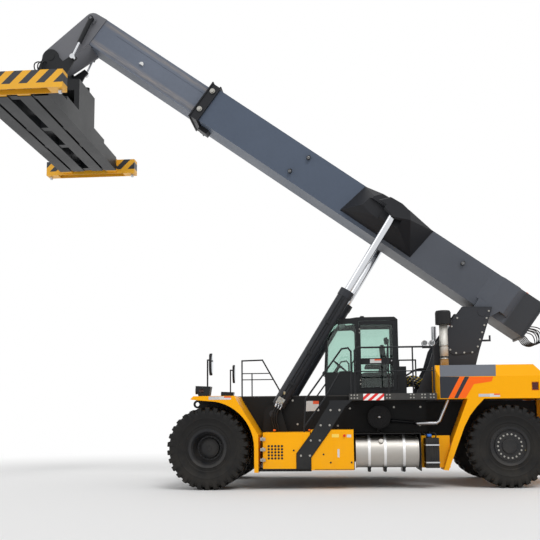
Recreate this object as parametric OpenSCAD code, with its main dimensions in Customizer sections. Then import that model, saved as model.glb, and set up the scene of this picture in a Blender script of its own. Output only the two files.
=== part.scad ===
// Reach stacker of the 45 tonne class: a truck on six tyres, a two-part telescopic boom and a
// 20 to 40 foot container spreader. X points ahead, Y to the left and Z up, all in millimetres.
// Places along the truck are counted from the front axle, places on the boom from its pivot.

/* [Running gear] */
// Distance between the front and rear axles
wheelbase = 6000; // [5600:50:6400]
// Outer diameter of every tyre
tyre_d = 1640; // [1560:10:1680]
// Width of one tyre
tyre_w = 480; // [420:10:500]
// Radius at which the tyres sit on their rims
rim_r = 360; // [340:5:370]
// Number of lugs round each shoulder of a tyre
lug_count = 30; // [24:2:36]
// Depth of the gaps between the lugs
lug_depth = 45; // [30:5:55]
// Clear gap between the two tyres of a twin pair
twin_gap = 65; // [50:5:90]
// Overall width over the front twin tyres
front_width = 4100; // [4000:20:4200]
// Overall width over the rear tyres
rear_width = 3280; // [3200:20:3360]
// Distance of each kingpin from the middle of the truck
kingpin_y = 1000; // [960:10:1020]
// Radius of the kingpins
kingpin_r = 50; // [40:2:56]
// Radius of the wheel spindles
spindle_r = 80; // [65:5:95]
// Radius of the steering cylinder's rod
steer_rod_r = 35; // [30:1:40]

/* [Chassis] */
// Top of the chassis and of the walkways
deck_z = 1880; // [1840:10:1900]
// Thickness of the deck plates
deck_t = 20; // [12:2:30]
// Half width of the front part of the chassis
frame_y = 900; // [860:10:920]
// Half width of the neck between the rear wheels
neck_y = 450; // [400:10:470]
// Depth of the front girders
girder_h = 780; // [700:10:800]
// Thickness of the fenders' skirts
skirt_t = 50; // [40:5:60]
// Clearance between the front tyres and their fenders
fender_gap = 120; // [100:10:150]
// Length of the body behind the rear axle
tail_length = 1450; // [1380:10:1600]
// Half width of the counterweight
body_y = 1650; // [1600:10:1700]
// Top of the hood and counterweight
body_top = 2450; // [2400:10:2500]
// Half width of the walkways
walk_y = 1950; // [1900:10:2000]
// Half width over the walk ahead of the cab
front_walk_y = 1450; // [1420:10:1500]
// Underside of the cabinets on the sides
sill_z = 380; // [360:5:400]
// Top of the cabinets on the sides
cabinet_top = 1150; // [1130:5:1180]
// Height of the handrails above the deck
rail_h = 920; // [900:10:1000]
// Radius of the handrails
rail_r = 18; // [15:1:22]
// Radius of the fuel tank
tank_r = 325; // [300:5:330]

/* [Cab] */
// Half width of the cab
cab_y = 720; // [700:10:740]
// Place of the cab's rear wall behind the front axle
cab_rear = 3920; // [3900:10:3950]
// Length of the cab at its floor
cab_length = 1580; // [1560:10:1600]
// Height of the cab's roof above the ground
roof_z = 3560; // [3500:10:3600]
// Thickness of the cab's walls and door
cab_wall = 50; // [40:5:60]
// Thickness of the glass
glass_t = 8; // [6:1:12]

/* [Boom] */
// Lift angle of the boom as it stands
boom_angle = 36; // [34:0.5:38]
// Distance of the boom's pivot ahead of the rear axle
pivot_ahead = 277; // [240:1:320]
// Height of the boom's pivot
pivot_z = 3630; // [3600:10:3680]
// Radius of the pivot pins
pivot_r = 90; // [80:5:100]
// Length of the outer boom from its pivot to its mouth
outer_length = 7960; // [7800:20:8100]
// Length of the outer boom behind its pivot
outer_tail = 1030; // [960:10:1060]
// Width of the outer boom
outer_w = 900; // [880:10:920]
// Depth of the outer boom
outer_h = 860; // [840:10:880]
// Underside of the outer boom above the line through its pivot
outer_base = 80; // [70:5:100]
// Plate thickness of the boom
boom_t = 20; // [16:1:24]
// Width of the outer boom over its pivot
pivot_w = 1180; // [1160:10:1200]
// Width of the inner boom
inner_w = 750; // [740:10:770]
// Depth of the inner boom
inner_h = 720; // [700:10:730]
// Thickness of the wear strips on the inner boom
strip_t = 8; // [4:1:10]
// Distance from the boom's pivot to the hang pin as it stands
hang_reach = 11566; // [11400:2:11700]
// Drop of the hang pin below the line through the boom's pivot
hang_drop = 626; // [600:2:660]
// Radius of the hang pin
hang_r = 90; // [70:5:100]

/* [Lift cylinders] */
// Distance of each lift cylinder from the middle of the truck
lift_y = 1050; // [1040:5:1080]
// Place of the lower pins behind the front axle
lift_x = 1250; // [1200:10:1300]
// Height of the lower pins
lift_z = 1500; // [1450:10:1550]
// Radius of the lower pins
lift_pin_r = 75; // [60:5:80]
// Place of the upper pins along the boom
lift_a = 2738; // [2700:2:2780]
// Place of the upper pins above the pivot line
lift_b = 716; // [700:2:740]
// Outer radius of the barrels
barrel_r = 145; // [135:5:150]
// Radius of the rods
rod_r = 82; // [75:1:90]
// Length of the barrels from their pins
barrel_length = 3050; // [2950:10:3100]
// Length of a lift cylinder's rod, from its inner end to its eye's pin
rod_length = 3176; // [3130:2:3180]
// Width of the rods' eyes
eye_w = 180; // [160:10:200]

/* [Spreader] */
// Height of the hang pin above the twistlock beams' underside
hang_height = 1880; // [1860:10:1960]
// Distance between twistlocks along the spreader at 20 feet
lock_long = 5853; // [5850:1:5856]
// Distance between twistlocks across the spreader
lock_cross = 2259; // [2257:1:2261]
// Radius of the twistlocks' shafts
lock_r = 32; // [28:1:36]
// Height of the end beams
end_h = 380; // [340:10:390]
// Width of the end beams
end_w = 300; // [280:10:320]
// Overall length of the end beams
end_length = 2440; // [2420:10:2460]
// Width of the main frame's tubes
tube_w = 300; // [280:10:320]
// Height of the main frame's tubes
tube_h = 360; // [340:10:370]
// Length of the main frame
frame_length = 5200; // [5000:20:5300]
// Radius of the slewing ring
slew_r = 560; // [520:10:600]

/* [Hidden] */
$fn = 64;

dark = [0.20, 0.21, 0.23];
black = [0.08, 0.08, 0.09];
yellow = [0.96, 0.68, 0.06];
steel = [0.75, 0.76, 0.78];
amber = [0.95, 0.40, 0.05];
glass = [0.72, 0.85, 0.80, 0.5];

fit = 0.4;
gap = 6;
axle_z = tyre_d / 2;
// The rim sits this far in from the tyre's sides, and its lips stand this far out
rim_in = 34;
rim_lip = 26;
twin_out = (front_width - tyre_w) / 2;
twin_in = twin_out - tyre_w - twin_gap;
rear_y = (rear_width - tyre_w) / 2;
rear_x = -wheelbase;
pivot_x = rear_x + pivot_ahead;
tail_x = rear_x - tail_length;
ca = cos(boom_angle);
sa = sin(boom_angle);
hang_x = pivot_x + hang_reach * ca + hang_drop * sa;
hang_z = pivot_z + hang_reach * sa - hang_drop * ca;
front_x = hang_x + end_length / 2;
// The origin lies under the middle of the whole machine
shift_x = -(tail_x + front_x) / 2;

girder_z = deck_z - girder_h;
girder_top = deck_z - deck_t;
neck_x = rear_x + 1900;
neck_top = 1740;
// The shelves beside the hood, and the wall ahead of the tail
shelf_z = 1765;
shelf_front = rear_x + 1400;
hood_y = 820;
hood_front = rear_x + 400;
tail_wall = rear_x - 1060;
bevel_h = 240;
// The cabinets, the stairs' well and the tanks follow each other from front to rear
cabinet_front = -1105;
cabinet_split = -2075;
cabinet_rear = -2928;
tank_rear = rear_x + 1772;
hanger_t = 20;
panel_y = 1500;
sill_top = sill_z + 32;
// Tower plates stand just outside the boom
tower_y = pivot_w / 2 + 10;

outer_top = outer_base + outer_h;
inner_base = outer_base + (outer_h - inner_h) / 2;
inner_top = inner_base + inner_h;
head_a = hang_reach - 546;
lift_top = [pivot_x + lift_a * ca - lift_b * sa, pivot_z + lift_a * sa + lift_b * ca];
lift_rest = norm(lift_top - [-lift_x, lift_z]);
lift_tilt = atan2(lift_top[1] - lift_z, lift_top[0] + lift_x);

// Places a shape on the truck, whose own origin is under the front axle
module on_truck() {
    translate([shift_x, 0, 0]) children();
}

// Places a shape on the boom: X runs along the boom and Z squarely up from it
module on_boom() {
    on_truck() translate([pivot_x, 0, pivot_z]) rotate([0, -boom_angle, 0]) children();
}

// Places a shape under the hang pin, which stays level
module on_hang() {
    on_truck() translate([hang_x, 0, hang_z]) children();
}

module both_sides() {
    children();
    mirror([0, 1, 0]) children();
}

module right_side() {
    mirror([0, 1, 0]) children();
}

// A box between two opposite corners
module block(low, high) {
    translate(low) cube(high - low);
}

// A side profile in X and Z, drawn out from y0 to y1
module profile(points, y0, y1) {
    translate([0, y1, 0]) rotate([90, 0, 0]) linear_extrude(y1 - y0) polygon(points);
}

// A cross section in Y and Z, drawn along X from x0 to x1
module section(points, x0, x1) {
    translate([x0, 0, 0]) rotate([90, 0, 90]) linear_extrude(x1 - x0) polygon(points);
}

// A plan outline in X and Y, drawn up from z0 to z1
module plan(points, z0, z1) {
    translate([0, 0, z0]) linear_extrude(z1 - z0) polygon(points);
}

// A round bar between two points
module bar(a, b, r) {
    d = b - a;
    turn = acos(d[2] / norm(d));
    about = norm([d[0], d[1]]) < 0.001 ? [1, 0, 0] : [-d[1], d[0], 0];
    translate(a) rotate(turn, about) cylinder(h = norm(d), r = r, $fn = 24);
}

// A bent bar through a list of points, with a round knuckle at each bend
module bent_bar(points, r) {
    for (i = [0 : len(points) - 2]) bar(points[i], points[i + 1], r);
    for (i = [1 : len(points) - 2]) translate(points[i]) sphere(r = r + 2, $fn = 24);
}

// A round pin or drum along Y from y0 to y1
module drum(x, z, r, y0, y1) {
    translate([x, y1, z]) rotate([90, 0, 0]) cylinder(h = y1 - y0, r = r);
}

// Points of an arc about a centre, between two angles
function arc(cx, cz, r, a0, a1, steps) =
    [for (i = [0 : steps]) [cx + r * cos(a0 + (a1 - a0) * i / steps),
                            cz + r * sin(a0 + (a1 - a0) * i / steps)]];

// Points given from an origin
function from(origin, points) = [for (p = points) origin + p];

// A list of points backwards
function reversed(points) = [for (i = [len(points) - 1 : -1 : 0]) points[i]];

// Outline of a tyre's tread: each lug has a flat tip, and each gap runs to a point
function tread() = [for (i = [0 : lug_count - 1], p = [[-0.3, 0], [0.3, 0], [0.5, lug_depth]])
    let (a = (i + p[0]) * 360 / lug_count) (tyre_d / 2 - p[1]) * [cos(a), sin(a)]];

// Points of a regular outline whose flats lie at the given radius
function ring(r, sides) = [for (i = [0 : sides - 1]) r / cos(180 / sides) * [cos(360 * i / sides),
    sin(360 * i / sides)]];

module tyre(y) {
    half = tyre_w / 2;
    bead = half - rim_in;
    wall_r = tyre_d / 2 - 215;
    translate([0, y, axle_z]) rotate([90, 0, 0]) difference() {
        linear_extrude(tyre_w, center = true) polygon(tread());
        translate([0, 0, -half - 10]) linear_extrude(tyre_w + 20) polygon(ring(rim_r + fit, 30));
        // The side walls draw in towards the rim
        translate([0, 0, bead]) linear_extrude(half) polygon(ring(wall_r, 30));
        translate([0, 0, -bead - half]) linear_extrude(half) polygon(ring(wall_r, 30));
    }
}

module front_tyres(side) {
    color(black) on_truck() for (y = [twin_in, twin_out]) tyre(side * y);
}

module rear_tyre(side) {
    color(black) on_truck() translate([rear_x, 0, 0]) tyre(side * rear_y);
}

// A turned part about the wheel's axis: radius first, then distance from the middle of the truck
module turned(side, x, points) {
    translate([x, 0, axle_z]) rotate([side > 0 ? -90 : 90, 0, 0]) rotate_extrude() polygon(points);
}

// The flanged outline of a rim between its inner and outer edges
function rim_edges(inn, out) = [[rim_r - 25, inn], [rim_r + rim_lip, inn - 14], [rim_r + rim_lip, inn - 2],
    [rim_r, inn], [rim_r, out], [rim_r + rim_lip, out + 2], [rim_r + rim_lip, out + 14], [rim_r - 25, out]];

module front_rims(side) {
    out = twin_out + tyre_w / 2 - rim_in;
    inn = twin_in - tyre_w / 2 + rim_in;
    disc = twin_out - 90;
    color(black) on_truck() turned(side, 0, concat(rim_edges(inn, out),
        [[rim_r - 60, out - 50], [rim_r - 95, disc + 40], [rim_r - 110, disc], [210, disc], [195, disc + 55],
         [150, disc + 70], [60, disc + 86], [0, disc + 86],
         [0, inn + 260], [spindle_r + fit, inn + 260], [spindle_r + fit, inn - 30], [170, inn - 30],
         [190, disc - 30], [rim_r - 45, disc - 30], [rim_r - 25, disc - 120]]));
}

module rear_rim(side) {
    out = rear_y + tyre_w / 2 - rim_in;
    inn = rear_y - tyre_w / 2 + rim_in;
    color(black) on_truck() turned(side, rear_x, concat(rim_edges(inn, out),
        [[rim_r - 35, out - 30], [rim_r - 60, out - 34], [rim_r - 70, out - 14], [160, out - 14],
         [150, out + 10], [140, out + 18], [0, out + 18],
         [0, inn + 230], [spindle_r + fit, inn + 230], [spindle_r + fit, inn], [150, inn],
         [170, out - 56], [rim_r - 45, out - 56], [rim_r - 25, out - 90]]));
}

module front_axle() {
    hub_y = twin_in - tyre_w / 2 + rim_in - 30 - gap;
    spindle_y = hub_y + 230;
    color(dark) on_truck() {
        // One turned housing: spindles at its ends and the differential's bell in the middle
        turned(1, 0, [[0, -spindle_y], [spindle_r, -spindle_y], [spindle_r, -hub_y], [150, -hub_y], [150,
            -270],
            [225, -200], [285, -80], [285, 80], [225, 200], [150, 270], [150, hub_y], [spindle_r, hub_y],
            [spindle_r, spindle_y], [0, spindle_y]]);
        both_sides() block([-170, frame_y - 340, axle_z], [170, frame_y - 100, girder_z + 60]);
    }
}

steer_x = rear_x + 240;
module rear_axle() {
    beam_y = kingpin_y - 80;
    color(dark) on_truck() difference() {
        union() {
            block([rear_x - 110, -beam_y, axle_z - 90], [rear_x + 110, beam_y, axle_z + 90]);
            both_sides() translate([rear_x, kingpin_y, axle_z - 90]) cylinder(h = 180, r = kingpin_r + 45);
            // The axle swings about the seat under the neck
            block([rear_x - 300, -200, axle_z + 90], [rear_x + 300, 200, axle_z + 180]);
            drum(steer_x, axle_z, steer_rod_r + 40, -330, 330);
            block([rear_x + 100, -150, axle_z - 50], [steer_x, 150, axle_z + 50]);
        }
        both_sides() translate([rear_x, kingpin_y, axle_z - 100]) cylinder(h = 200, r = kingpin_r + fit);
        drum(steer_x, axle_z, steer_rod_r + 1, -340, 340);
    }
}

module steering_rod() {
    reach = 720;
    color(steel) on_truck() {
        drum(steer_x, axle_z, steer_rod_r, -reach, reach);
        both_sides() translate([steer_x, reach + 40, axle_z - 30]) cylinder(h = 60, r = 50);
    }
}

module knuckle(side) {
    inn = rear_y - tyre_w / 2 + rim_in - gap - kingpin_y;
    fork = 128;
    color(dark) on_truck() translate([rear_x, side * kingpin_y, axle_z]) mirror([0, side > 0 ? 0 : 1, 0]) {
        for (z = [-fork, fork - 30]) translate([0, 0, z]) {
            cylinder(h = 30, r = kingpin_r + 50);
            block([-90, 0, 0], [90, 130, 30]);
        }
        translate([0, 0, -110]) cylinder(h = 220, r = kingpin_r);
        block([-90, 106, -fork], [90, 135, fork]);
        drum(0, 0, 120, 106, inn);
        drum(0, 0, spindle_r, 106, inn + 200);
        // Steering arm
        block([-20, -50, -fork - 30], [290, 20, -fork]);
    }
}

module chassis_frame() {
    nose = 350;
    tail = tail_x + 120;
    neck_low = 1000;
    cross_y = frame_y - 250;
    hanger_y = walk_y - 30;
    eye = [nose + 60, deck_z - 160];
    color(dark) on_truck() difference() {
        union() {
            both_sides() {
                profile([[nose, girder_z + 100], [nose, girder_top], [neck_x - 350, girder_top],
                    [neck_x - 350, girder_z], [-600, girder_z], [-420, girder_z + 60], [nose - 120,
                        girder_z + 60]],
                    frame_y - 260, frame_y);
                // The neck runs between the rear wheels
                block([tail, neck_y - 160, neck_low], [neck_x, neck_y, neck_top]);
                // Hangers carry the cabinets and tanks
                for (x = [cabinet_front, cabinet_split + hanger_t / 2, cabinet_rear, tank_rear])
                    block([x, frame_y - 30, sill_z - 20],
                        [x + hanger_t, x == tank_rear ? hanger_y : panel_y, girder_z]);
                block([tank_rear, frame_y - 30, girder_z - 20], [cabinet_rear, hanger_y, girder_z]);
                block([cabinet_rear, frame_y - 30, sill_z - 20], [cabinet_front + hanger_t, panel_y, sill_z]);
                block([cabinet_split + hanger_t / 2, panel_y - 5, sill_z - 20], [cabinet_front + 85,
                    walk_y, sill_top]);
                // Cheeks that hold the lift cylinders' lower pins
                for (y = [lift_y - eye_w / 2 - 45, lift_y + eye_w / 2 + gap])
                    profile(concat([[215 - lift_x, girder_z + 40]], arc(-lift_x, lift_z, 190, 0, 180, 12),
                        [[-lift_x - 300, girder_z + 40]]), y, y + 38);
                block([-lift_x - 300, frame_y - 10, cabinet_top - 25], [215 - lift_x,
                    lift_y + eye_w / 2 + 44, girder_z + 60]);
                // Lashing eye on the nose
                drum(eye[0], eye[1], 85, frame_y - 120, frame_y - 60);
                block([nose - 5, frame_y - 120, eye[1] - 85], [eye[0], frame_y - 60, eye[1] + 85]);
            }
            for (x = [nose - 300, -2450, neck_x - 350])
                block([x, -cross_y, girder_z + 120], [x + 290, cross_y, girder_top]);
            block([neck_x - 350, -cross_y, girder_z], [neck_x, cross_y, girder_z + 260]);
            block([tail, 150 - neck_y, neck_low], [tail + 300, neck_y - 150, neck_top]);
            block([rear_x - 300, 150 - neck_y, axle_z + 180], [rear_x + 300, neck_y - 150, neck_low + 300]);
        }
        both_sides() drum(eye[0], eye[1], 45, frame_y - 130, frame_y - 50);
        both_sides() drum(-lift_x, lift_z, lift_pin_r + fit, lift_y - 200, lift_y + 200);
    }
}

module boom_tower() {
    plate = 50;
    cover = 20;
    out = tower_y + plate + cover;
    foot = girder_top;
    foot_front = pivot_x + 1452;
    foot_rear = pivot_x + 243;
    pin = [pivot_x, pivot_z];
    front_edge = from(pin, [[1253, -1292], [1163, -1123], [1043, -740], [579, -80], [423, 125]]);
    rear_edge = from(pin, [[-218, 115], [-207, 60], [82, -818], [163, -1104]]);
    doubler = from(pin, [[620, -915], [963, -670], [553, -90], [408, 100], [-192, 90], [-182, 60], [83,
        -760], [168, -845]]);
    hook = from(pin, [[63, -630], [-162, -630], [-162, -500], [-127, -500], [-127, -590], [63, -590]]);
    color(dark) on_truck() {
        both_sides() {
            profile(concat([[foot_front, foot]], front_edge, rear_edge, [[foot_rear, foot]]), tower_y,
                tower_y + plate);
            profile(doubler, tower_y + plate - 5, out);
            profile(hook, tower_y + 10, tower_y + 40);
            drum(pivot_x, pivot_z, pivot_r, outer_w / 2 + 5, out + 10);
        }
        block([pivot_x + 763, -tower_y - 20, foot + 10], [pivot_x + 943, tower_y + 20, pivot_z - 1030]);
        block([foot_rear, -tower_y - 20, foot + 10], [foot_rear + 60, tower_y + 20, pivot_z - 1130]);
        block([foot_rear, -out, neck_top], [neck_x - 350, out, deck_z]);
    }
}

module fenders() {
    sheet = 20;
    top = girder_top;
    wide = front_width / 2;
    r = tyre_d / 2 + fender_gap;
    low = sill_z - 40;
    outline = [[346, top - 60], [283, top], [-555, top], [-590, top - 90], [-1020, girder_z - 20], [-1020,
        low]];
    lining = [[-1020 + sheet, low], [-1020 + sheet, girder_z - 28], [-590 + sheet, top - 100],
        [-545, top - sheet], [275, top - sheet], [326, top - 70]];
    arch = arc(0, axle_z, r, 180, 100, 12);
    // Rear struts, from the rear axle: the front edge downwards, then the arch upwards
    strut_front = [[797, shelf_z], [1110, 969], [1316, low + 20]];
    strut_arch = [[1219, low + 8], [1147, 533], [1028, 837], [883, 1209], [766, 1428], [628, 1603], [469,
        shelf_z]];
    color(yellow) on_truck() both_sides() {
        profile(concat(outline, [[-r, low]], arch, [[290, top - 75]]), wide - skirt_t, wide);
        profile(concat(outline, lining), frame_y, wide - skirt_t + 5);
        profile(from([rear_x, 0], concat(strut_front, strut_arch)), body_y - skirt_t, body_y);
        profile(from([rear_x, 0], concat(strut_front, reversed(from([-30, 0], strut_front)))),
            body_y - 560, body_y - skirt_t + 5);
        // Rear panels behind the tanks
        block([rear_x + 1162, panel_y - 30, sill_z + 20], [tank_rear, panel_y, girder_z - 64]);
    }
}

lamp_y = 1700;
lamp_w = 230;
module front_lamps() {
    top = deck_z + 190;
    color(black) on_truck() both_sides() {
        profile([[-17, girder_top], [200, girder_top], [262, top], [-50, top - 15]], lamp_y, lamp_y + lamp_w);
        translate([215, lamp_y + lamp_w / 2, deck_z + 100]) rotate([0, 90, 0]) cylinder(h = 50, r = 75);
    }
}

module marker_lamps() {
    color(amber) on_truck() both_sides() {
        block([90, lamp_y + lamp_w, deck_z + 60], [185, lamp_y + lamp_w + 8, deck_z + 115]);
        block([rear_x - 595, body_y - 30, shelf_z + 165], [rear_x - 480, body_y - 12, shelf_z + 310]);
    }
}

module work_lamps() {
    post = [rear_x + 1365, 930];
    color(steel) on_truck() {
        // Two lamps on a post beside the tower
        bar([post[0], post[1], body_top], [post[0], post[1], 2870], 20);
        block([post[0] - 40, post[1] - 30, 2850], [post[0] + 230, post[1] + 30, 2880]);
        for (x = [0, 150]) {
            drum(post[0] + x + 30, 2955, 62, post[1] - 60, post[1] + 40);
            block([post[0] + x + 15, post[1] - 20, 2870], [post[0] + x + 45, post[1] + 20, 2910]);
        }
        // A domed lamp on the cab's roof
        translate([-3180, 0, roof_z]) cylinder(h = 60, r = 72);
        translate([-3180, 0, roof_z + 60]) cylinder(h = 50, r1 = 72, r2 = 40);
        translate([-3400, 0, roof_z]) cylinder(h = 50, r = 30);
    }
}

module mirrors() {
    stalk = [37, lamp_y + 80];
    top = 2600;
    color(black) on_truck() both_sides() {
        bent_bar([[stalk[0], stalk[1], deck_z + 180], [stalk[0], stalk[1], top], [stalk[0] - 60,
            stalk[1] + 60, top]], 16);
        // The head leans back and tapers at its foot
        section(from([stalk[1] + 60, 2300], [[-40, 0], [40, 0], [95, 90], [100, 380], [60, 415], [-60,
            415], [-100, 380], [-95, 90]]),
            stalk[0] - 100, stalk[0] - 55);
    }
}

// Side outline of the tail from the hood's rear edge backwards, all above it being open
function tail_slope(drop) = [[rear_x - 550, body_top - drop], [rear_x - 730, body_top - bevel_h + 20 - drop],
    [tail_x - 10, body_top - bevel_h - 110 - drop]];

module counterweight() {
    half = [[body_y - 60, axle_z - 60], [body_y - 60, shelf_z], [body_y, shelf_z], [body_y,
        body_top - bevel_h], [body_y - 170, body_top]];
    color(yellow) on_truck() difference() {
        section(concat(half, [for (p = reversed(half)) [-p[0], p[1]]]), tail_x, shelf_front);
        // Only the shelves along the hood reach ahead of the rear wheels
        both_sides() block([tail_wall, neck_y + 100, axle_z - 70], [shelf_front + 10, body_y + 10, shelf_z]);
        block([rear_x - 800, -neck_y - 110, axle_z - 70], [shelf_front + 10, neck_y + 110, shelf_z]);
        block([tail_wall, -hood_y, shelf_z - 10], [shelf_front + 10, hood_y, body_top + 10]);
        block([tail_x + 110, -neck_y - gap, 1000 - gap], [shelf_front, neck_y + gap, neck_top]);
        profile(concat(tail_slope(0), [[tail_x - 10, body_top + 10], [rear_x - 550, body_top + 10]]),
            -body_y - 10, body_y + 10);
        both_sides() {
            plan([[tail_x - 10, body_y + 10], [tail_x + 220, body_y + 10], [tail_x - 10, body_y - 250]],
                axle_z - 70, body_top);
            plan([[shelf_front + 10, body_y + 10], [shelf_front - 60, body_y + 10], [shelf_front + 10,
                body_y - 110]],
                shelf_z - 10, body_top + 10);
            // Recess for the side lamp
            block([rear_x - 610, body_y - 30, shelf_z + 150], [rear_x - 465, body_y + 10, shelf_z + 325]);
        }
        // Slots of the radiator's grille
        for (i = [0 : 6]) block([tail_x - 10, -560, 1100 + 90 * i], [tail_x + 50, 560, 1150 + 90 * i]);
    }
}

module engine_hood() {
    sheet = 30;
    color(yellow) on_truck() difference() {
        block([tail_wall, -hood_y, shelf_z], [hood_front, hood_y, body_top - 10]);
        block([tail_wall + sheet, sheet - hood_y, shelf_z - 10], [hood_front - sheet, hood_y - sheet, 2050]);
        block([rear_x - 555, sheet - hood_y, 2040], [hood_front - sheet, hood_y - sheet,
            body_top - 10 - sheet]);
        profile(concat(tail_slope(10), [[tail_x, body_top + 10], [rear_x - 550, body_top + 10]]),
            -hood_y - 10, hood_y + 10);
        // Louvres let the warm air out
        for (s = [-1, 1], i = [0 : 6])
            block([rear_x - 400 + 90 * i, s > 0 ? 200 : -600, body_top - 60], [rear_x - 350 + 90 * i,
                s > 0 ? 600 : -200, body_top]);
    }
}

module engine_block() {
    color(steel) on_truck() block([rear_x - 550, -380, neck_top], [rear_x + 250, 380, 2300]);
}

cab_front = cab_length - cab_rear;
sill_glass_z = 2365;
// The cab's side outline, and the same drawn in by the wall's thickness
function cab_outline(inset) = [
    [cab_front - inset, deck_z + inset], [cab_front - inset, 2340], [cab_front + 60 - inset, sill_glass_z],
    [cab_front + 10 - inset, 2420], [cab_front - 28 - inset, 3077], [cab_front - 55 - inset, 3230],
    [cab_front - 130 - inset, 3360], [cab_front - 220 - inset * 0.7, 3440 - inset * 0.5],
    [cab_front - 316 - inset * 0.5, 3490 - inset], [cab_front - 470, 3528 - inset], [cab_front - 700,
        roof_z - inset],
    [-cab_rear + 70, roof_z - inset], [-cab_rear + inset, roof_z - 60], [-cab_rear + inset, deck_z + inset]];
door_front = -3085;
door_rear = -3880;
door_low = deck_z + 90;
door_top = roof_z - 85;

// The window ahead of the door, with rounded upper corners
module cab_side_window(y0, y1, shrink) {
    profile([[-3016 + shrink, sill_glass_z + 15 + shrink], [cab_front - 40 - shrink,
        sill_glass_z + 15 + shrink],
        [cab_front - 68 - shrink, 3077], [cab_front - 98 - shrink, 3215], [cab_front - 165 - shrink, 3330],
        [cab_front - 270 - shrink, 3415 - shrink], [-2940 + shrink, 3425 - shrink], [-2995 + shrink,
            3400 - shrink],
        [-3016 + shrink, 3350]], y0, y1);
}

module cab_rear_side_window(y0, y1, shrink) {
    profile([[door_rear + 60 + shrink, 2420 + shrink], [door_front - 60 - shrink, 2420 + shrink],
        [door_front - 60 - shrink, 3440 - shrink], [door_rear + 60 + shrink, 3440 - shrink]], y0, y1);
}

roof_window = [[-3080, 130 - cab_y], [-2800, cab_y - 130]];
rear_window = [[80 - cab_y, 2520], [cab_y - 80, 3420]];
screen_y = cab_y - 70;

module cab_shell() {
    color(dark) on_truck() difference() {
        union() {
            profile(cab_outline(0), -cab_y, cab_y);
            // Housing of the air conditioner on the rear wall
            block([-cab_rear - 160, -500, deck_z], [-cab_rear + 10, cab_y - 60, 2490]);
        }
        profile(cab_outline(cab_wall), -cab_y + cab_wall, cab_y - cab_wall);
        block([door_rear - gap, cab_y - cab_wall - 20, door_low - gap], [door_front + gap, cab_y + 20,
            door_top + gap]);
        cab_side_window(-cab_y - 20, cab_y + 20, 0);
        cab_rear_side_window(-cab_y - 20, 0, 0);
        // Windscreen, which bends back into the roof
        profile([[cab_front + 200, 2450], [cab_front - 100, 2450], [cab_front - 140, 3080],
            [cab_front - 330, 3370],
            [cab_front - 330, 3600], [cab_front + 200, 3600]], -screen_y, screen_y);
        block([-cab_rear - 20, rear_window[0][0], rear_window[0][1]],
            [-cab_rear + cab_wall + 20, rear_window[1][0], rear_window[1][1]]);
        block([roof_window[0][0], roof_window[0][1], roof_z - 110], [roof_window[1][0], roof_window[1][1],
            roof_z + 20]);
    }
}

module cab_glass() {
    s = fit;
    y = cab_y - 30;
    screen = [[6, 2450 + s + glass_t / 2], [-30, 3077], [-57, 3228], [-131, 3355], [-219, 3430], [-310,
        3480]];
    color(glass) on_truck() {
        both_sides() cab_side_window(y, y + glass_t, s);
        right_side() cab_rear_side_window(y, y + glass_t, s);
        profile(from([cab_front, 0], concat(screen, reversed(from([-glass_t, -glass_t / 2], screen)))),
            s - screen_y, screen_y - s);
        block([-cab_rear + 20, rear_window[0][0] + s, rear_window[0][1] + s],
            [-cab_rear + 20 + glass_t, rear_window[1][0] - s, rear_window[1][1] - s]);
        block([roof_window[0][0] + s, roof_window[0][1] + s, roof_z - 70],
            [roof_window[1][0] - s, roof_window[1][1] - s, roof_z - 70 + glass_t]);
    }
}

// The door's two panes, from its foot
panes = [[75, 570], [700, door_top - door_low - 85]];
module door_window(pane, shrink, y0, y1) {
    block([door_rear + 80 + shrink, y0, door_low + pane[0] + shrink], [door_front - 35 - shrink, y1,
        door_low + pane[1] - shrink]);
}

module cab_door() {
    hinge_r = 14;
    grip = door_front - 60;
    color(dark) on_truck() {
        difference() {
            block([door_rear, cab_y - cab_wall, door_low], [door_front, cab_y, door_top]);
            for (pane = panes) door_window(pane, 0, 0, cab_y + 20);
        }
        for (z = [door_low + 250, door_top - 300]) {
            block([door_rear, cab_y, z], [door_rear + 90, cab_y + 12, z + 80]);
            translate([door_rear - 8, cab_y + hinge_r, z]) cylinder(h = 80, r = hinge_r, $fn = 24);
        }
        bent_bar([[grip, cab_y, 2580], [grip, cab_y + 30, 2580], [grip, cab_y + 30, 2640], [grip, cab_y,
            2640]], 8);
    }
}

module door_glass() {
    color(glass) on_truck() for (pane = panes) door_window(pane, fit, cab_y - 30, cab_y - 30 + glass_t);
}

module seat() {
    floor_z = deck_z + cab_wall;
    cushion_z = 2260;
    color(black) on_truck() {
        block([-3620, -180, floor_z], [-3220, 180, cushion_z]);
        block([-3700, -260, cushion_z], [-3150, 260, cushion_z + 140]);
        profile([[-3700, cushion_z + 140], [-3560, cushion_z + 140], [-3640, 3020], [-3760, 3020]], -250,
            250);
        profile([[-3745, 3020], [-3665, 3020], [-3675, 3180], [-3755, 3180]], -140, 140);
        both_sides() {
            block([-3640, 255, cushion_z + 220], [-3220, 330, cushion_z + 310]);
            block([-3640, 255, cushion_z + 70], [-3540, 330, cushion_z + 220]);
        }
    }
}

module controls() {
    floor_z = deck_z + cab_wall;
    wheel_at = [-2660, 0, 2560];
    color(black) on_truck() {
        profile([[-2560, floor_z], [-2460, floor_z], [-2470, 2350], [-2620, 2560], [-2660, 2520], [-2560,
            2330]], -90, 90);
        translate(wheel_at) rotate([0, -40, 0]) {
            rotate_extrude() translate([190, 0]) circle(r = 14, $fn = 24);
            translate([0, 0, -40]) cylinder(h = 50, r = 45);
            for (t = [0, 120, 240]) rotate(t) block([0, -12, -8], [190, 12, 4]);
        }
    }
}

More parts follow.
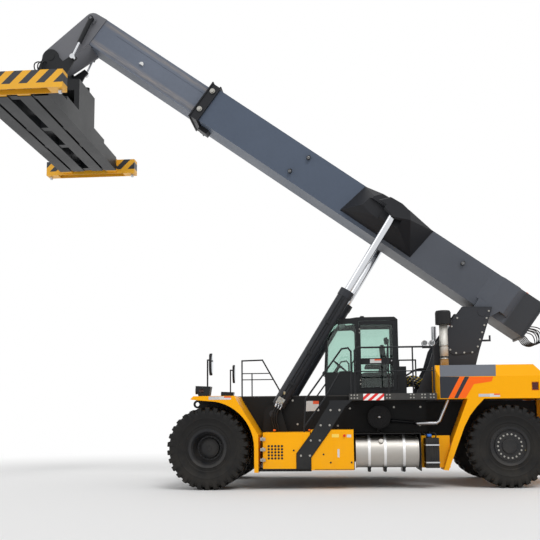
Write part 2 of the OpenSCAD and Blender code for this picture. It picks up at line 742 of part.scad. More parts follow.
module walkways() {
    beam = 130;
    slot_front = -lift_x + 150;
    slot_rear = -lift_x - 650;
    color(dark) on_truck() {
        both_sides() block([rear_x + 1440, frame_y, deck_z - beam], [-2840, walk_y, deck_z]);
        // Only the right side has a walk ahead of the cab, set out round the lift cylinder
        right_side() {
            block([-2840, frame_y, deck_z - beam], [slot_rear, front_walk_y, deck_z]);
            block([slot_rear - 10, lift_y + barrel_r + 105, deck_z - beam], [slot_front + 10, front_walk_y,
                deck_z]);
            block([slot_front, frame_y, deck_z - beam], [-620, front_walk_y, deck_z]);
        }
        block([neck_x - 160, -frame_y, girder_top], [300, frame_y, deck_z]);
    }
}

module handrails() {
    y = walk_y - 30;
    top = deck_z + rail_h;
    mid = deck_z + 440;
    post_r = rail_r - 3;
    rear = rear_x + 1484;
    color(dark) on_truck() {
        both_sides() {
            // Rail along the walkway, with its mid rail and posts
            bent_bar([[rear, y, deck_z], [rear, y, top], [-3017, y, top], [-2960, y, top - 60], [-2960, y,
                deck_z]], rail_r);
            bar([rear, y, mid], [-2960, y, mid], post_r - 3);
            for (x = [-3628, -4109]) bar([x, y, deck_z], [x, y, top], post_r);
            // Hoop down the stairs and back up
            bent_bar([[-2888, y, deck_z], [-2888, y, top - 76], [-2831, y, top - 3], [-2702, y, top - 21],
                [-1970, y, 1780], [-1930, y, 1220], [-2342, y, 1774], [-2664, y, 2310], [-2750, y, mid]],
                    rail_r);
            bar([-2750, y, mid], [-2888, y, mid], post_r);
            bar([-1930, y, cabinet_top - 25], [-1930, y, 1215], post_r);
        }
        right_side() {
            front = front_walk_y - 50;
            bent_bar([[-297, front, girder_top], [-297, front, top], [-796, front, top + 12], [-1202,
                front, 2085],
                [-1202, front, deck_z]], rail_r);
            bar([-297, front, 2490], [-980, front, 2490], post_r - 3);
            bar([-297, front, 2340], [-1062, front, 2340], post_r - 3);
            bar([-540, front, girder_top], [-540, front, 2490], post_r);
        }
    }
}

// Outline of the stairs' side plates, and of the well that holds them when grown
function stair_plate(grow) = [[-1778 + grow, sill_top - grow], [-1778 + grow, 709], [-2075 + grow, 1100],
    [-2288 + grow, 1455],
    [-2444 + grow, 1690], [-2444 + grow, deck_z - 130], [-2900, deck_z - 130], [-2764 - grow, 1639],
        [-2472 - grow, 1191],
    [-2058 - grow, 624], [-2058 - grow, sill_top - grow]];
stair_in = 1520;
module stairs() {
    steps = 5;
    plate = 25;
    tread = 250;
    color(black) on_truck() both_sides() {
        for (y = [stair_in, walk_y]) profile(stair_plate(0), y, y + plate);
        for (i = [0 : steps - 1])
            block([-1918 - 162 * i - tread / 2, stair_in + plate - 5, 583 + 256 * i],
                [-1918 - 162 * i + tread / 2, walk_y + 5, 613 + 256 * i]);
    }
}

module side_cabinets() {
    skin = 20;
    color(yellow) on_truck() both_sides() difference() {
        union() {
            block([cabinet_split + hanger_t * 1.5, frame_y, sill_top], [cabinet_front, walk_y,
                cabinet_top - 25]);
            block([cabinet_rear + hanger_t, frame_y, sill_z], [cabinet_split + hanger_t / 2, walk_y,
                cabinet_top + 20]);
        }
        profile(stair_plate(10), stair_in - 10, walk_y + 10);
        // Honeycomb grille of the front cabinet
        for (i = [0 : 4], j = [0 : 4]) translate([-1222 - 66 * i, walk_y + 10, 615 + 60 * j])
            rotate([90, 30, 0]) cylinder(h = 10 + skin, r = 27, $fn = 6);
        // Joints of the two doors
        block([-1900, walk_y - 4, 470], [-1892, walk_y + 10, cabinet_top - 60]);
        block([-2520, walk_y - 4, 430], [-2512, walk_y + 10, 1060]);
    }
}

tank_z = 740;
tank_y = 1600;
tank_front = cabinet_rear - 22;
tank_length = tank_front - tank_rear - hanger_t - 22;
module fuel_tank() {
    color(steel) on_truck() translate([tank_front, tank_y, tank_z]) rotate([0, -90, 0]) {
        cylinder(h = tank_length, r = tank_r);
        // Rolled rims and the filler cap
        for (x = [0, tank_length - 24]) translate([0, 0, x]) cylinder(h = 24, r = tank_r + 10);
        translate([0, 0, 500]) rotate([0, 90, 55]) cylinder(h = tank_r + 40, r = 45);
    }
}

module tank_straps() {
    leg_y = tank_y - tank_r - 90;
    strap = 12;
    color(dark) on_truck() for (x = [tank_front - 265, tank_front - 578, tank_front - 948])
        difference() {
            union() {
                translate([x - 25, tank_y, tank_z]) rotate([0, 90, 0]) cylinder(h = 50, r = tank_r + strap);
                // The leg hangs from the shelf and hooks under the tank
                block([x - 25, leg_y, sill_z - 30], [x + 25, leg_y + 110, girder_z - 20]);
                section([[leg_y, sill_z - 60], [tank_y + 40, sill_z - 50], [tank_y + 40,
                    tank_z - tank_r + 10], [leg_y, tank_z - tank_r + 60]],
                    x - 25, x + 25);
            }
            translate([x - 30, tank_y, tank_z]) rotate([0, 90, 0]) cylinder(h = 60, r = tank_r + fit);
        }
}

module urea_tank() {
    color(black) on_truck() {
        block([tank_rear - 352, panel_y, sill_z + 33], [tank_rear - 92, panel_y + 400, 996]);
        translate([tank_rear - 172, panel_y + 300, 996]) cylinder(h = 40, r = 45);
    }
}

module hydraulic_tank() {
    color(dark) on_truck() right_side() {
        block([tank_rear + hanger_t, frame_y, sill_z + 20], [cabinet_rear, walk_y - 10, girder_z - 20]);
        translate([-3400, walk_y - 10, 800]) rotate([-90, 0, 0]) cylinder(h = 30, r = 70);
    }
}

module air_filter() {
    at = [-3460, 1415];
    color(dark) on_truck() both_sides() {
        drum(at[0], at[1], 225, frame_y, frame_y + 190);
        drum(at[0], at[1], 240, frame_y + 185, frame_y + 215);
        drum(at[0], at[1], 32, frame_y + 210, frame_y + 245);
        block([at[0] - 40, frame_y + 60, girder_z], [at[0] + 40, frame_y + 160, at[1] - 200]);
    }
}

stack_x = rear_x + 1138;
stack_y = 900;
module air_intake() {
    color(black) on_truck() {
        translate([stack_x, stack_y, pivot_z - 280]) cylinder(h = 250, r = 165);
        translate([stack_x, stack_y, pivot_z - 30]) cylinder(h = 40, r1 = 165, r2 = 145);
        translate([stack_x, stack_y, body_top]) cylinder(h = pivot_z - 280 - body_top, r = 82);
        translate([stack_x, stack_y, pivot_z - 990]) cylinder(h = 30, r = 92);
    }
}

module exhaust_pipes() {
    charge_y = 1300;
    r = 35;
    color(steel) on_truck() {
        right_side() {
            translate([stack_x, stack_y, body_top]) cylinder(h = 600, r = 120);
            translate([stack_x, stack_y, body_top + 600]) cylinder(h = 450, r = 60);
        }
        // Pipe from the girder up into the shelf beside the hood
        bent_bar([[tank_rear - 1, frame_y, 1280], [tank_rear - 1, charge_y, 1280], [rear_x + 1393,
            charge_y, 1285],
            [rear_x + 1330, charge_y, 1330], [rear_x + 1143, charge_y, shelf_z - 16]], r);
    }
}

collar_length = 250;
module boom_outer() {
    flare_y = pivot_w / 2;
    side = outer_w / 2;
    color(dark) on_boom() difference() {
        union() {
            block([-outer_tail, -side, outer_base], [outer_length - collar_length, side, outer_top]);
            block([-outer_tail, -side - 20, outer_base - 20], [40 - outer_tail, side + 20, outer_top + 20]);
            both_sides() {
                // The boom widens over its pivot
                plan([[290, side - 5], [0, flare_y], [-380, flare_y], [-520, side - 5]], outer_base + 155,
                    outer_top - 25);
                profile(concat(arc(0, 0, 190, 180, 360, 12), [[220, outer_base + 160], [-300,
                    outer_base + 160]]), side - 5, flare_y);
            }
        }
        block([-outer_tail - 10, boom_t - side, outer_base + boom_t], [outer_length, side - boom_t,
            outer_top - boom_t]);
        both_sides() drum(0, 0, pivot_r + fit, side - 50, side + 200);
    }
}

module boom_collar() {
    out = 60;
    side = outer_w / 2;
    a0 = outer_length - collar_length;
    // Two flanges with a band between them: start, end and height over the boom's plates
    rings = [[a0, a0 + 30, out], [a0 + 30, outer_length - 30, out - 25], [outer_length - 30, outer_length,
        out]];
    color(black) on_boom() {
        difference() {
            union() {
                for (g = rings) block([g[0], -side - g[2], outer_base - g[2]], [g[1], side + g[2],
                    outer_top + g[2]]);
                // Screws that set the wear pads
                both_sides() for (z = [outer_base + 220, outer_top - 130]) drum(a0 + 125, z, 45, side,
                    side + out);
                // Guide for the hoses under the boom
                block([a0 - 230, -140, outer_base - 110], [a0 + 5, 140, outer_base]);
            }
            block([a0 - 10, boom_t - side, outer_base + boom_t], [outer_length + 10, side - boom_t,
                outer_top - boom_t]);
        }
        // Wear pads guide the inner boom
        for (y = [-280, 160]) {
            block([a0 + 50, y, outer_base + boom_t], [outer_length - 20, y + 120, inner_base - 1]);
            block([a0 + 50, y, inner_top + 1], [outer_length - 20, y + 120, outer_top - boom_t]);
        }
        both_sides() for (z = [inner_base + 60, inner_top - 180])
            block([a0 + 50, inner_w / 2 + strip_t + 1, z], [outer_length - 20, side - boom_t, z + 120]);
    }
}

gland_r = barrel_r + 12;
module cylinder_bracket() {
    side = outer_w / 2;
    slot_in = lift_y - eye_w / 2 - gap;
    slot_out = lift_y + eye_w / 2 + gap;
    cheek_out = slot_out + 38;
    // Outline of the cheek round the pin, from the upper pin
    cheek = [[409, -60], [215, 150], [-40, 165], [-270, 120], [-385, -36], [-60, -175], [140, -60]];
    // Foot of the flare on the boom's side plate
    foot = [[3660, outer_top - 10], [3820, outer_base + 90], [1940, outer_base + 80], [1850, outer_top - 10]];
    color(dark) on_boom() both_sides() difference() {
        hull() {
            profile(from([lift_a, lift_b], cheek), slot_out, cheek_out);
            profile(foot, side, side + 10);
        }
        // Slot for the rod's eye and for its swing
        block([lift_a - 240, slot_in, -500], [lift_a + 800, slot_out, outer_top + 600]);
        // Room for the barrel's end when the boom lies level
        block([lift_a + 225, lift_y - gland_r - gap, -500], [lift_a + 900, lift_y + gland_r + gap, lift_b - 40]);
    }
}

module boom_lamps() {
    side = outer_w / 2;
    // Place along the boom and height of each lamp
    places = [[5090, 740], [5260, 250], [920, 680]];
    color(black) on_boom() {
        both_sides() for (p = places) {
            block([p[0] - 20, side, p[1] + 40], [p[0] + 20, side + 60, p[1] + 70]);
            drum(p[0], p[1] + 10, 45, side + 15, side + 75);
        }
        // Beacon on the tail
        translate([-615, 0, outer_top]) cylinder(h = 100, r = 55);
    }
}

inner_tail = 2200;
module boom_inner() {
    side = inner_w / 2;
    color(dark) on_boom() {
        difference() {
            union() {
                block([inner_tail, -side, inner_base], [head_a, side, inner_top]);
                // Wear strips along the sides
                both_sides() for (z = [inner_base + 50, inner_top - 190])
                    block([inner_tail + 400, side - 5, z], [head_a - 450, side + strip_t, z + 140]);
            }
            block([inner_tail - 10, boom_t - side, inner_base + boom_t], [head_a - boom_t, side - boom_t,
                inner_top - boom_t]);
        }
        // Pads at the tail ride inside the outer boom
        both_sides() {
            block([inner_tail, side, inner_base + 100], [inner_tail + 250, outer_w / 2 - boom_t - 2,
                inner_base + 260]);
            block([inner_tail, 160, inner_top], [inner_tail + 250, 300, outer_top - boom_t - 2]);
            block([inner_tail, 160, outer_base + boom_t + 2], [inner_tail + 250, 300, inner_base]);
        }
    }
}

damper_pin = [hang_reach - 281, 654];
damper_y = 520;
damper_arm = [-550, -50];
head_y = 340;
head_t = 60;
module boom_head() {
    pin = [hang_reach, -hang_drop];
    color(dark) on_boom() difference() {
        union() {
            both_sides() {
                profile(concat([[head_a, inner_base], [head_a, inner_top]], arc(damper_pin[0],
                    damper_pin[1], 200, 90, 10, 8),
                    arc(pin[0], pin[1], 230, 20, -150, 12)), head_y, head_y + head_t);
                drum(damper_pin[0], damper_pin[1], 90, head_y, damper_y - 60);
            }
            both_sides() drum(damper_pin[0], damper_pin[1], damper_pin_r, head_y, damper_y + 60);
            drum(pin[0], pin[1], 150, -head_y, head_y);
            block([head_a, -head_y, inner_base + 50], [head_a + 60, head_y, inner_top - 170]);
            block([head_a + 60, -head_y, inner_base + 150], [head_a + 300, head_y, inner_base + 190]);
        }
        drum(pin[0], pin[1], hang_r + fit, -1000, 1000);
    }
}

module tilt_yoke() {
    y0 = head_y + head_t + gap;
    cheek = 50;
    low = ring_face + 80;
    color(black) on_hang() {
        drum(0, 0, hang_r, -y0 - cheek - 10, y0 + cheek + 10);
        both_sides() profile(concat(arc(0, 0, 190, 0, 180, 12),
            [[-300, -120], [damper_arm[0], damper_arm[1] + 90], [damper_arm[0] - 90, damper_arm[1]],
             [damper_arm[0], damper_arm[1] - 100], [-380, low], [380, low]]), y0, y0 + cheek);
        translate([0, 0, low - 80]) cylinder(h = 90, r = slew_r);
        block([-380, -y0 - cheek, low], [380, y0 + cheek, low + 40]);
    }
}

damper_pin_r = 30;
ring_low = -640;
ring_face = -560;
rail_top = tube_h + 120 - hang_height;
module slew_carriage() {
    skin = 50;
    color(black) on_hang() {
        translate([0, 0, ring_low]) cylinder(h = ring_face - fit - ring_low, r = slew_r - 40);
        difference() {
            block([-760, -600, ring_low - 260], [760, 600, ring_low]);
            block([-640, -560, ring_low - 270], [640, 560, ring_low - skin]);
        }
        // Shoes that slide on the spreader's rails, and the slewing motors
        for (s = [-1, 1]) {
            block([s * 700 - 60, -600, rail_top + fit], [s * 700 + 60, 600, ring_low - 250]);
            translate([s * 650, 300 * s, ring_low - 5]) cylinder(h = 150, r = 70);
        }
    }
}

// Main frame: place of each tube, and the side whose arm runs in it
tube_x = [[-615, -1], [-255, 1], [255, 1], [615, -1]];
tube_z = 30 - hang_height;
tube_wall = 14;
module spreader_frame() {
    half = frame_length / 2;
    wall = tube_wall;
    color(black) on_hang() {
        difference() {
            union() {
                for (t = tube_x) block([t[0] - tube_w / 2, -half, tube_z], [t[0] + tube_w / 2, half,
                    tube_z + tube_h]);
                for (y = [-half, -700, 500, half - 200])
                    block([-615, y, tube_z + 20], [615, y + 200, tube_z + tube_h - 20]);
                for (s = [-1, 1]) block([s * 700 - 65, -1450, tube_z + tube_h], [s * 700 + 65, 1450,
                    rail_top]);
            }
            for (t = tube_x) block([t[0] - tube_w / 2 + wall, -half - 10, tube_z + wall],
                [t[0] + tube_w / 2 - wall, half + 10, tube_z + tube_h - wall]);
        }
        // Valve cabinets on the frame's top
        both_sides() block([-560, 1700, tube_z + tube_h], [560, 2200, tube_z + tube_h + 160]);
    }
}

// Height in the end beam at which a twistlock's head rests
lock_seat = 150;
module spreader_end(side) {
    y = side * lock_long / 2;
    z0 = -hang_height;
    arm_y = side * (lock_long / 2 - end_w / 2);
    inner_y = side * (lock_long / 2 - 4500);
    play = tube_wall + fit;
    wall = 12;
    pocket = 60;
    color(yellow) on_hang() difference() {
        union() {
            block([-end_length / 2, y - end_w / 2, z0], [end_length / 2, y + end_w / 2, z0 + end_h]);
            for (t = tube_x) if (t[1] == side)
                block([t[0] - tube_w / 2 + play, min(arm_y, inner_y), tube_z + play],
                    [t[0] + tube_w / 2 - play, max(arm_y, inner_y), tube_z + tube_h - play]);
        }
        // The beam is open below between its lock housings, and the arms are tubes
        block([320 - end_length / 2, y - end_w / 2 + 16, z0 - 10], [end_length / 2 - 320,
            y + end_w / 2 - 16, z0 + end_h - 20]);
        for (t = tube_x) if (t[1] == side)
            block([t[0] - tube_w / 2 + play + wall, min(arm_y, inner_y - side * 10), tube_z + play + wall],
                [t[0] + tube_w / 2 - play - wall, max(arm_y, inner_y - side * 10),
                    tube_z + tube_h - play - wall]);
        for (s = [-1, 1]) {
            translate([s * lock_cross / 2, y, z0 - 10]) cylinder(h = 200, r = lock_r + fit);
            block([s * lock_cross / 2 - pocket, y - pocket, z0 + lock_seat], [s * lock_cross / 2 + pocket,
                y + pocket, z0 + 260]);
        }
    }
}

module twistlock(side, s) {
    color(steel) on_hang() translate([s * lock_cross / 2, side * lock_long / 2, -hang_height]) {
        translate([0, 0, -30]) cylinder(h = 200, r = lock_r);
        translate([0, 0, lock_seat + fit]) cylinder(h = 60, r = lock_r + 18);
        translate([0, 0, -75]) intersection() {
            block([-30, -52, 0], [30, 52, 45]);
            cylinder(h = 45, r1 = 36, r2 = 60);
        }
    }
}

module lift_frame() {
    on_truck() translate([-lift_x, 0, lift_z]) rotate([0, -lift_tilt, 0]) children();
}

// A cylinder's round part along its own axis
module along(y, x0, x1, r) {
    translate([x0, y, 0]) rotate([0, 90, 0]) cylinder(h = x1 - x0, r = r);
}

module lift_barrels() {
    eye_r = lift_pin_r + 75;
    foot = 205;
    color(black) lift_frame() both_sides() difference() {
        union() {
            drum(0, 0, eye_r, lift_y - eye_w / 2, lift_y + eye_w / 2);
            block([0, lift_y - eye_w / 2, -110], [foot + 10, lift_y + eye_w / 2, 110]);
            along(lift_y, foot, barrel_length, barrel_r);
            along(lift_y, barrel_length - 160, barrel_length, gland_r);
            drum(0, 0, lift_pin_r, lift_y - eye_w / 2 - 44, lift_y + eye_w / 2 + 44);
        }
        along(lift_y, foot + 45, barrel_length + 10, rod_r + fit);
    }
}

module lift_rods() {
    color(steel) lift_frame() both_sides() {
        along(lift_y, lift_rest - rod_length, lift_rest - 90, rod_r);
        drum(lift_rest, 0, lift_pin_r + 75, lift_y - eye_w / 2, lift_y + eye_w / 2);
    }
}

// Valve at the foot of each barrel, on its outer side
module valve_block() {
    color(steel) lift_frame() both_sides() {
        block([245, lift_y + barrel_r, -75], [385, lift_y + barrel_r + 60, 75]);
        for (z = [-45, 25]) block([265, lift_y + barrel_r + 50, z], [300, lift_y + barrel_r + 85, z + 30]);
    }
}

damper_up = [pivot_x + damper_pin[0] * ca - damper_pin[1] * sa,
    pivot_z + damper_pin[0] * sa + damper_pin[1] * ca];
damper_low = [hang_x + damper_arm[0], hang_z + damper_arm[1]];
damper_rest = norm(damper_low - damper_up);
damper_tilt = atan2(damper_low[1] - damper_up[1], damper_low[0] - damper_up[0]);
damper_r = 55;
damper_rod = 715;
module damper_frame() {
    on_truck() translate([damper_up[0], 0, damper_up[1]]) rotate([0, -damper_tilt, 0]) children();
}

module damper_barrels() {
    color(black) damper_frame() both_sides() difference() {
        union() {
            drum(0, 0, damper_r + 5, damper_y - 40, damper_y + 40);
            along(damper_y, 0, 640, damper_r);
        }
        along(damper_y, 90, 700, damper_r / 2 + fit);
        // The eye turns on the head's pin
        drum(0, 0, damper_pin_r + fit, damper_y - 60, damper_y + 60);
    }
}

module damper_rods() {
    color(steel) damper_frame() both_sides() {
        along(damper_y, damper_rest - damper_rod, damper_rest - 50, damper_r / 2);
        drum(damper_rest, 0, damper_r + 5, damper_y - 40, damper_y + 40);
    }
}

chassis_frame();
boom_tower();
front_axle();
rear_axle();
knuckle(1);  // knuckle_left
knuckle(-1);  // knuckle_right
front_tyres(1);  // front_tyres_left
front_tyres(-1);  // front_tyres_right
front_rims(1);  // front_rims_left
front_rims(-1);  // front_rims_right
rear_tyre(1);  // rear_tyre_left
rear_tyre(-1);  // rear_tyre_right
rear_rim(1);  // rear_rim_left
rear_rim(-1);  // rear_rim_right
steering_rod();
fenders();
front_lamps();
marker_lamps();
work_lamps();
mirrors();
counterweight();
engine_hood();
engine_block();
cab_shell();
cab_glass();
cab_door();
door_glass();
seat();
controls();
walkways();
stairs();
handrails();
fuel_tank();
tank_straps();
urea_tank();
side_cabinets();
hydraulic_tank();
air_filter();
air_intake();
exhaust_pipes();
valve_block();
boom_outer();
boom_collar();
cylinder_bracket();
boom_lamps();
boom_inner();
boom_head();
lift_barrels();
lift_rods();
damper_barrels();
damper_rods();
tilt_yoke();
slew_carriage();
spreader_frame();
spreader_end(1);  // spreader_end_left
spreader_end(-1);  // spreader_end_right
twistlock(1, 1);  // twistlock_lf
twistlock(1, -1);  // twistlock_lr
twistlock(-1, 1);  // twistlock_rf
twistlock(-1, -1);  // twistlock_rr
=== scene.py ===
"""Looks of a reach stacker: paint, tyres, hoses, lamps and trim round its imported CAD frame."""

import math

import bmesh
import bpy
from bpy.props import FloatProperty, FloatVectorProperty, IntProperty, PointerProperty
from mathutils import Matrix, Vector


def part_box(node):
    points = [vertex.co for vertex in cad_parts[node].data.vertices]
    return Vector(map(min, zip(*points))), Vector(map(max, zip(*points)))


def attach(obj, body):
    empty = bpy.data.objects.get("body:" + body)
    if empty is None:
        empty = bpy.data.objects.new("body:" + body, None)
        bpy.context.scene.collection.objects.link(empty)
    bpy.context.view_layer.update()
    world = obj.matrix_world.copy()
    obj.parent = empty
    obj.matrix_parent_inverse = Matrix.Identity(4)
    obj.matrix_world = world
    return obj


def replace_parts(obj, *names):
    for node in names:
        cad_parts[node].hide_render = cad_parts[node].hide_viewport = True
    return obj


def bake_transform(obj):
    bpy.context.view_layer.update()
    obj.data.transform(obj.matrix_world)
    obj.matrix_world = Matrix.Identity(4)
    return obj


bl_info = {
    "name": "Reach Stacker Looks",
    "version": (1, 0, 0),
    "blender": (4, 5, 0),
    "location": "View3D > Sidebar > Reach Stacker",
    "description": "Paint, tyres, hoses, lamps and trim for the CAD frame of a reach stacker",
    "category": "Object",
}

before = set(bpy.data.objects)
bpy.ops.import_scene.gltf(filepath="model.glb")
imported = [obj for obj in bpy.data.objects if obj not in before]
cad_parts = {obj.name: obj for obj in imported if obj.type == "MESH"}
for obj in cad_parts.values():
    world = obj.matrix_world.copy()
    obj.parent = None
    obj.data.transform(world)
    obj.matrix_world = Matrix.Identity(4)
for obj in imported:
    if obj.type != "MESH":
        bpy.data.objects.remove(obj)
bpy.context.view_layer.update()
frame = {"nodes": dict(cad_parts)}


def middle(node):
    """Middle of a CAD node's box."""
    low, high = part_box(node)
    return (low + high) / 2


# Places along the truck are counted from the front axle, as in the CAD source. TRUCK, BOOM, HANG and LIFT
# lead from the space of the truck, the boom, the hanging yoke and a lift cylinder to the scene's.
FRONT = middle("front_rims_left").x
REAR = middle("rear_rim_left").x - FRONT
AXLE_Z = middle("front_rims_left").z
BOOM_ANGLE = math.radians(36)
PIVOT = (REAR + 0.277, 3.63)
TRUCK = Matrix.Translation((FRONT, 0, 0))
BOOM = TRUCK @ Matrix.Translation((PIVOT[0], 0, PIVOT[1])) @ Matrix.Rotation(-BOOM_ANGLE, 4, "Y")
HANG = TRUCK @ Matrix.Translation((4.002, 0, 9.922))
LIFT_ANGLE = math.radians(-121.811)
LIFT = TRUCK @ Matrix.Translation((-1.25, 0, 1.5)) @ Matrix.Rotation(LIFT_ANGLE, 4, "Y")
SIDES = (1, -1)
NAMED_SIDES = ((1, "left"), (-1, "right"))
# Outer faces: engine hood, chassis girders, side cabinets and walkways, cheeks of the tilt yoke
BODY_Y = 1.65
FRAME_Y = 0.9
WALK_Y = 1.95
YOKE_Y = 0.465
# The painted eyes of the lift rods start here along LIFT
EYE_START = 4.92
# The outer boom's tail along BOOM, which takes painted shade, the place along BOOM from which a bluer painted
# sheen lies on it, and the two runs of the wear pads across BOOM
TAIL, PAINTED_SHEEN_FROM = (-2.0, -0.52), 3.0
PAD_RUNS = ((0.19, 0.31), (0.74, 0.82))
LUG_HEIGHT = 0.045
WHITE = (1.0, 1.0, 1.0, 1.0)
AHEAD, LEFT, UP = (1, 0, 0), (0, 1, 0), (0, 0, 1)


def linear(*values):
    """Linear colour of a screen colour given from 0 to 255."""
    return tuple(((c / 255 + 0.055) / 1.055) ** 2.4 if c > 10 else c / 255 / 12.92 for c in values)


def colour(label, text, *values):
    """A colour that a user can change."""
    return FloatVectorProperty(
        name=label, description=text, subtype="COLOR", size=3, min=0, max=1, default=linear(*values)
    )


def length(label, text, default, low, high):
    """A length that a user can change."""
    return FloatProperty(
        name=label, description=text, subtype="DISTANCE", unit="LENGTH", default=default, min=low, max=high
    )


class StackerColours(bpy.types.PropertyGroup):
    """Colours of the machine's finishes."""

    body: colour("Body yellow", "Paint of the hood, fenders and cabinets", 252, 174, 4)
    boom: colour("Boom slate", "Paint of the outer boom", 79, 83, 91)
    frame: colour("Frame black", "Paint of the chassis, cab and stairs", 24, 26, 29)
    band: colour("Band grey", "Grey band along the hood's shoulder", 104, 108, 116)
    accent: colour("Accent orange", "Slanted stripes on the hood", 252, 104, 10)
    rubber: colour("Tyre rubber", "Rubber of the tyres", 18, 18, 19)
    rim: colour("Rim black", "Paint of the wheels' rims", 28, 30, 34)
    dust: colour("Dust", "Dust that settles low on the machine", 138, 128, 112)
    glass: colour("Glass tint", "Tint of the cab's glass", 206, 228, 220)
    signal: colour("Signal red", "Red of the striped plates", 222, 34, 30)


class StackerSizes(bpy.types.PropertyGroup):
    """Sizes of the added pieces."""

    lugs: IntProperty(name="Tyre lugs", description="Lugs on a tyre's shoulder", default=30, min=20, max=40)
    lug_height: length("Lug height", "Height of the tread's lugs", LUG_HEIGHT, 0.02, 0.06)
    nuts: IntProperty(name="Wheel nuts", description="Nuts on each wheel", default=18, min=10, max=24)
    bolt: length("Bolt head", "Width across a frame bolt's head", 0.034, 0.02, 0.06)
    hose: length("Hose radius", "Radius of the main hydraulic hoses", 0.019, 0.01, 0.03)
    plate: length("Plate thickness", "Thickness of the painted bands and blank plates", 0.003, 0.001, 0.01)


def colours():
    """The colours in use."""
    return bpy.context.scene.stacker_colours


def sizes():
    """The sizes in use."""
    return bpy.context.scene.stacker_sizes


# Shader groups


def feed(tree, target, value):
    """Gives an input a value, or a link from an output."""
    if isinstance(value, bpy.types.NodeSocket):
        tree.links.new(value, target)
    else:
        target.default_value = value


def add(tree, kind, place=None, **sockets):
    """Adds a node, with values or links for its inputs, by name or by number after an underscore."""
    node = tree.nodes.new(kind)
    for key, value in (place or {}).items():
        setattr(node, key, value)
    for key, value in sockets.items():
        feed(tree, node.inputs[int(key[1:]) if key[0] == "_" else key.replace("_", " ")], value)
    return node


def maths(tree, operation, *values, clamp=False):
    """A Math node's output."""
    node = add(tree, "ShaderNodeMath", {"operation": operation, "use_clamp": clamp})
    for target, value in zip(node.inputs, values):
        feed(tree, target, value)
    return node.outputs[0]


def times(tree, *values, clamp=False):
    """Product of two values."""
    return maths(tree, "MULTIPLY", *values, clamp=clamp)


def plus(tree, *values, clamp=False):
    """Sum of two values."""
    return maths(tree, "ADD", *values, clamp=clamp)


def minus(tree, *values, clamp=False):
    """Difference of two values."""
    return maths(tree, "SUBTRACT", *values, clamp=clamp)


def blend_colour(tree, factor, a, b):
    """Mix of two colours."""
    place = {"data_type": "RGBA", "blend_type": "MIX"}
    return add(tree, "ShaderNodeMix", place, _0=factor, _6=a, _7=b).outputs[2]


def split(tree, vector):
    """The X, Y and Z of a vector."""
    return add(tree, "ShaderNodeSeparateXYZ", Vector=vector).outputs


def noise(tree, vector, **sockets):
    """A noise texture's value."""
    return add(tree, "ShaderNodeTexNoise", Vector=vector, **sockets).outputs[0]


def mapped(tree, vector, kind="POINT", **sockets):
    """A vector moved, turned or stretched by a Mapping node."""
    return add(tree, "ShaderNodeMapping", {"vector_type": kind}, Vector=vector, **sockets).outputs[0]


FLOAT, COLOR, VECTOR = "NodeSocketFloat", "NodeSocketColor", "NodeSocketVector"
GEOMETRY, INT, MATERIAL = "NodeSocketGeometry", "NodeSocketInt", "NodeSocketMaterial"


def open_tree(name, kind, takes, gives):
    """A node tree with named sockets, and its input and output nodes."""
    tree = bpy.data.node_groups.new(name, kind)
    for label, socket, *default in takes:
        item = tree.interface.new_socket(label, in_out="INPUT", socket_type=socket)
        if default:
            item.default_value = default[0]
    for label, socket in gives:
        tree.interface.new_socket(label, in_out="OUTPUT", socket_type=socket)
    return tree, tree.nodes.new("NodeGroupInput").outputs, tree.nodes.new("NodeGroupOutput").inputs


def shader_group(name, takes, gives):
    """A shader group that reads a vector first."""
    return open_tree(name, "ShaderNodeTree", [("Vector", VECTOR), *takes], gives)


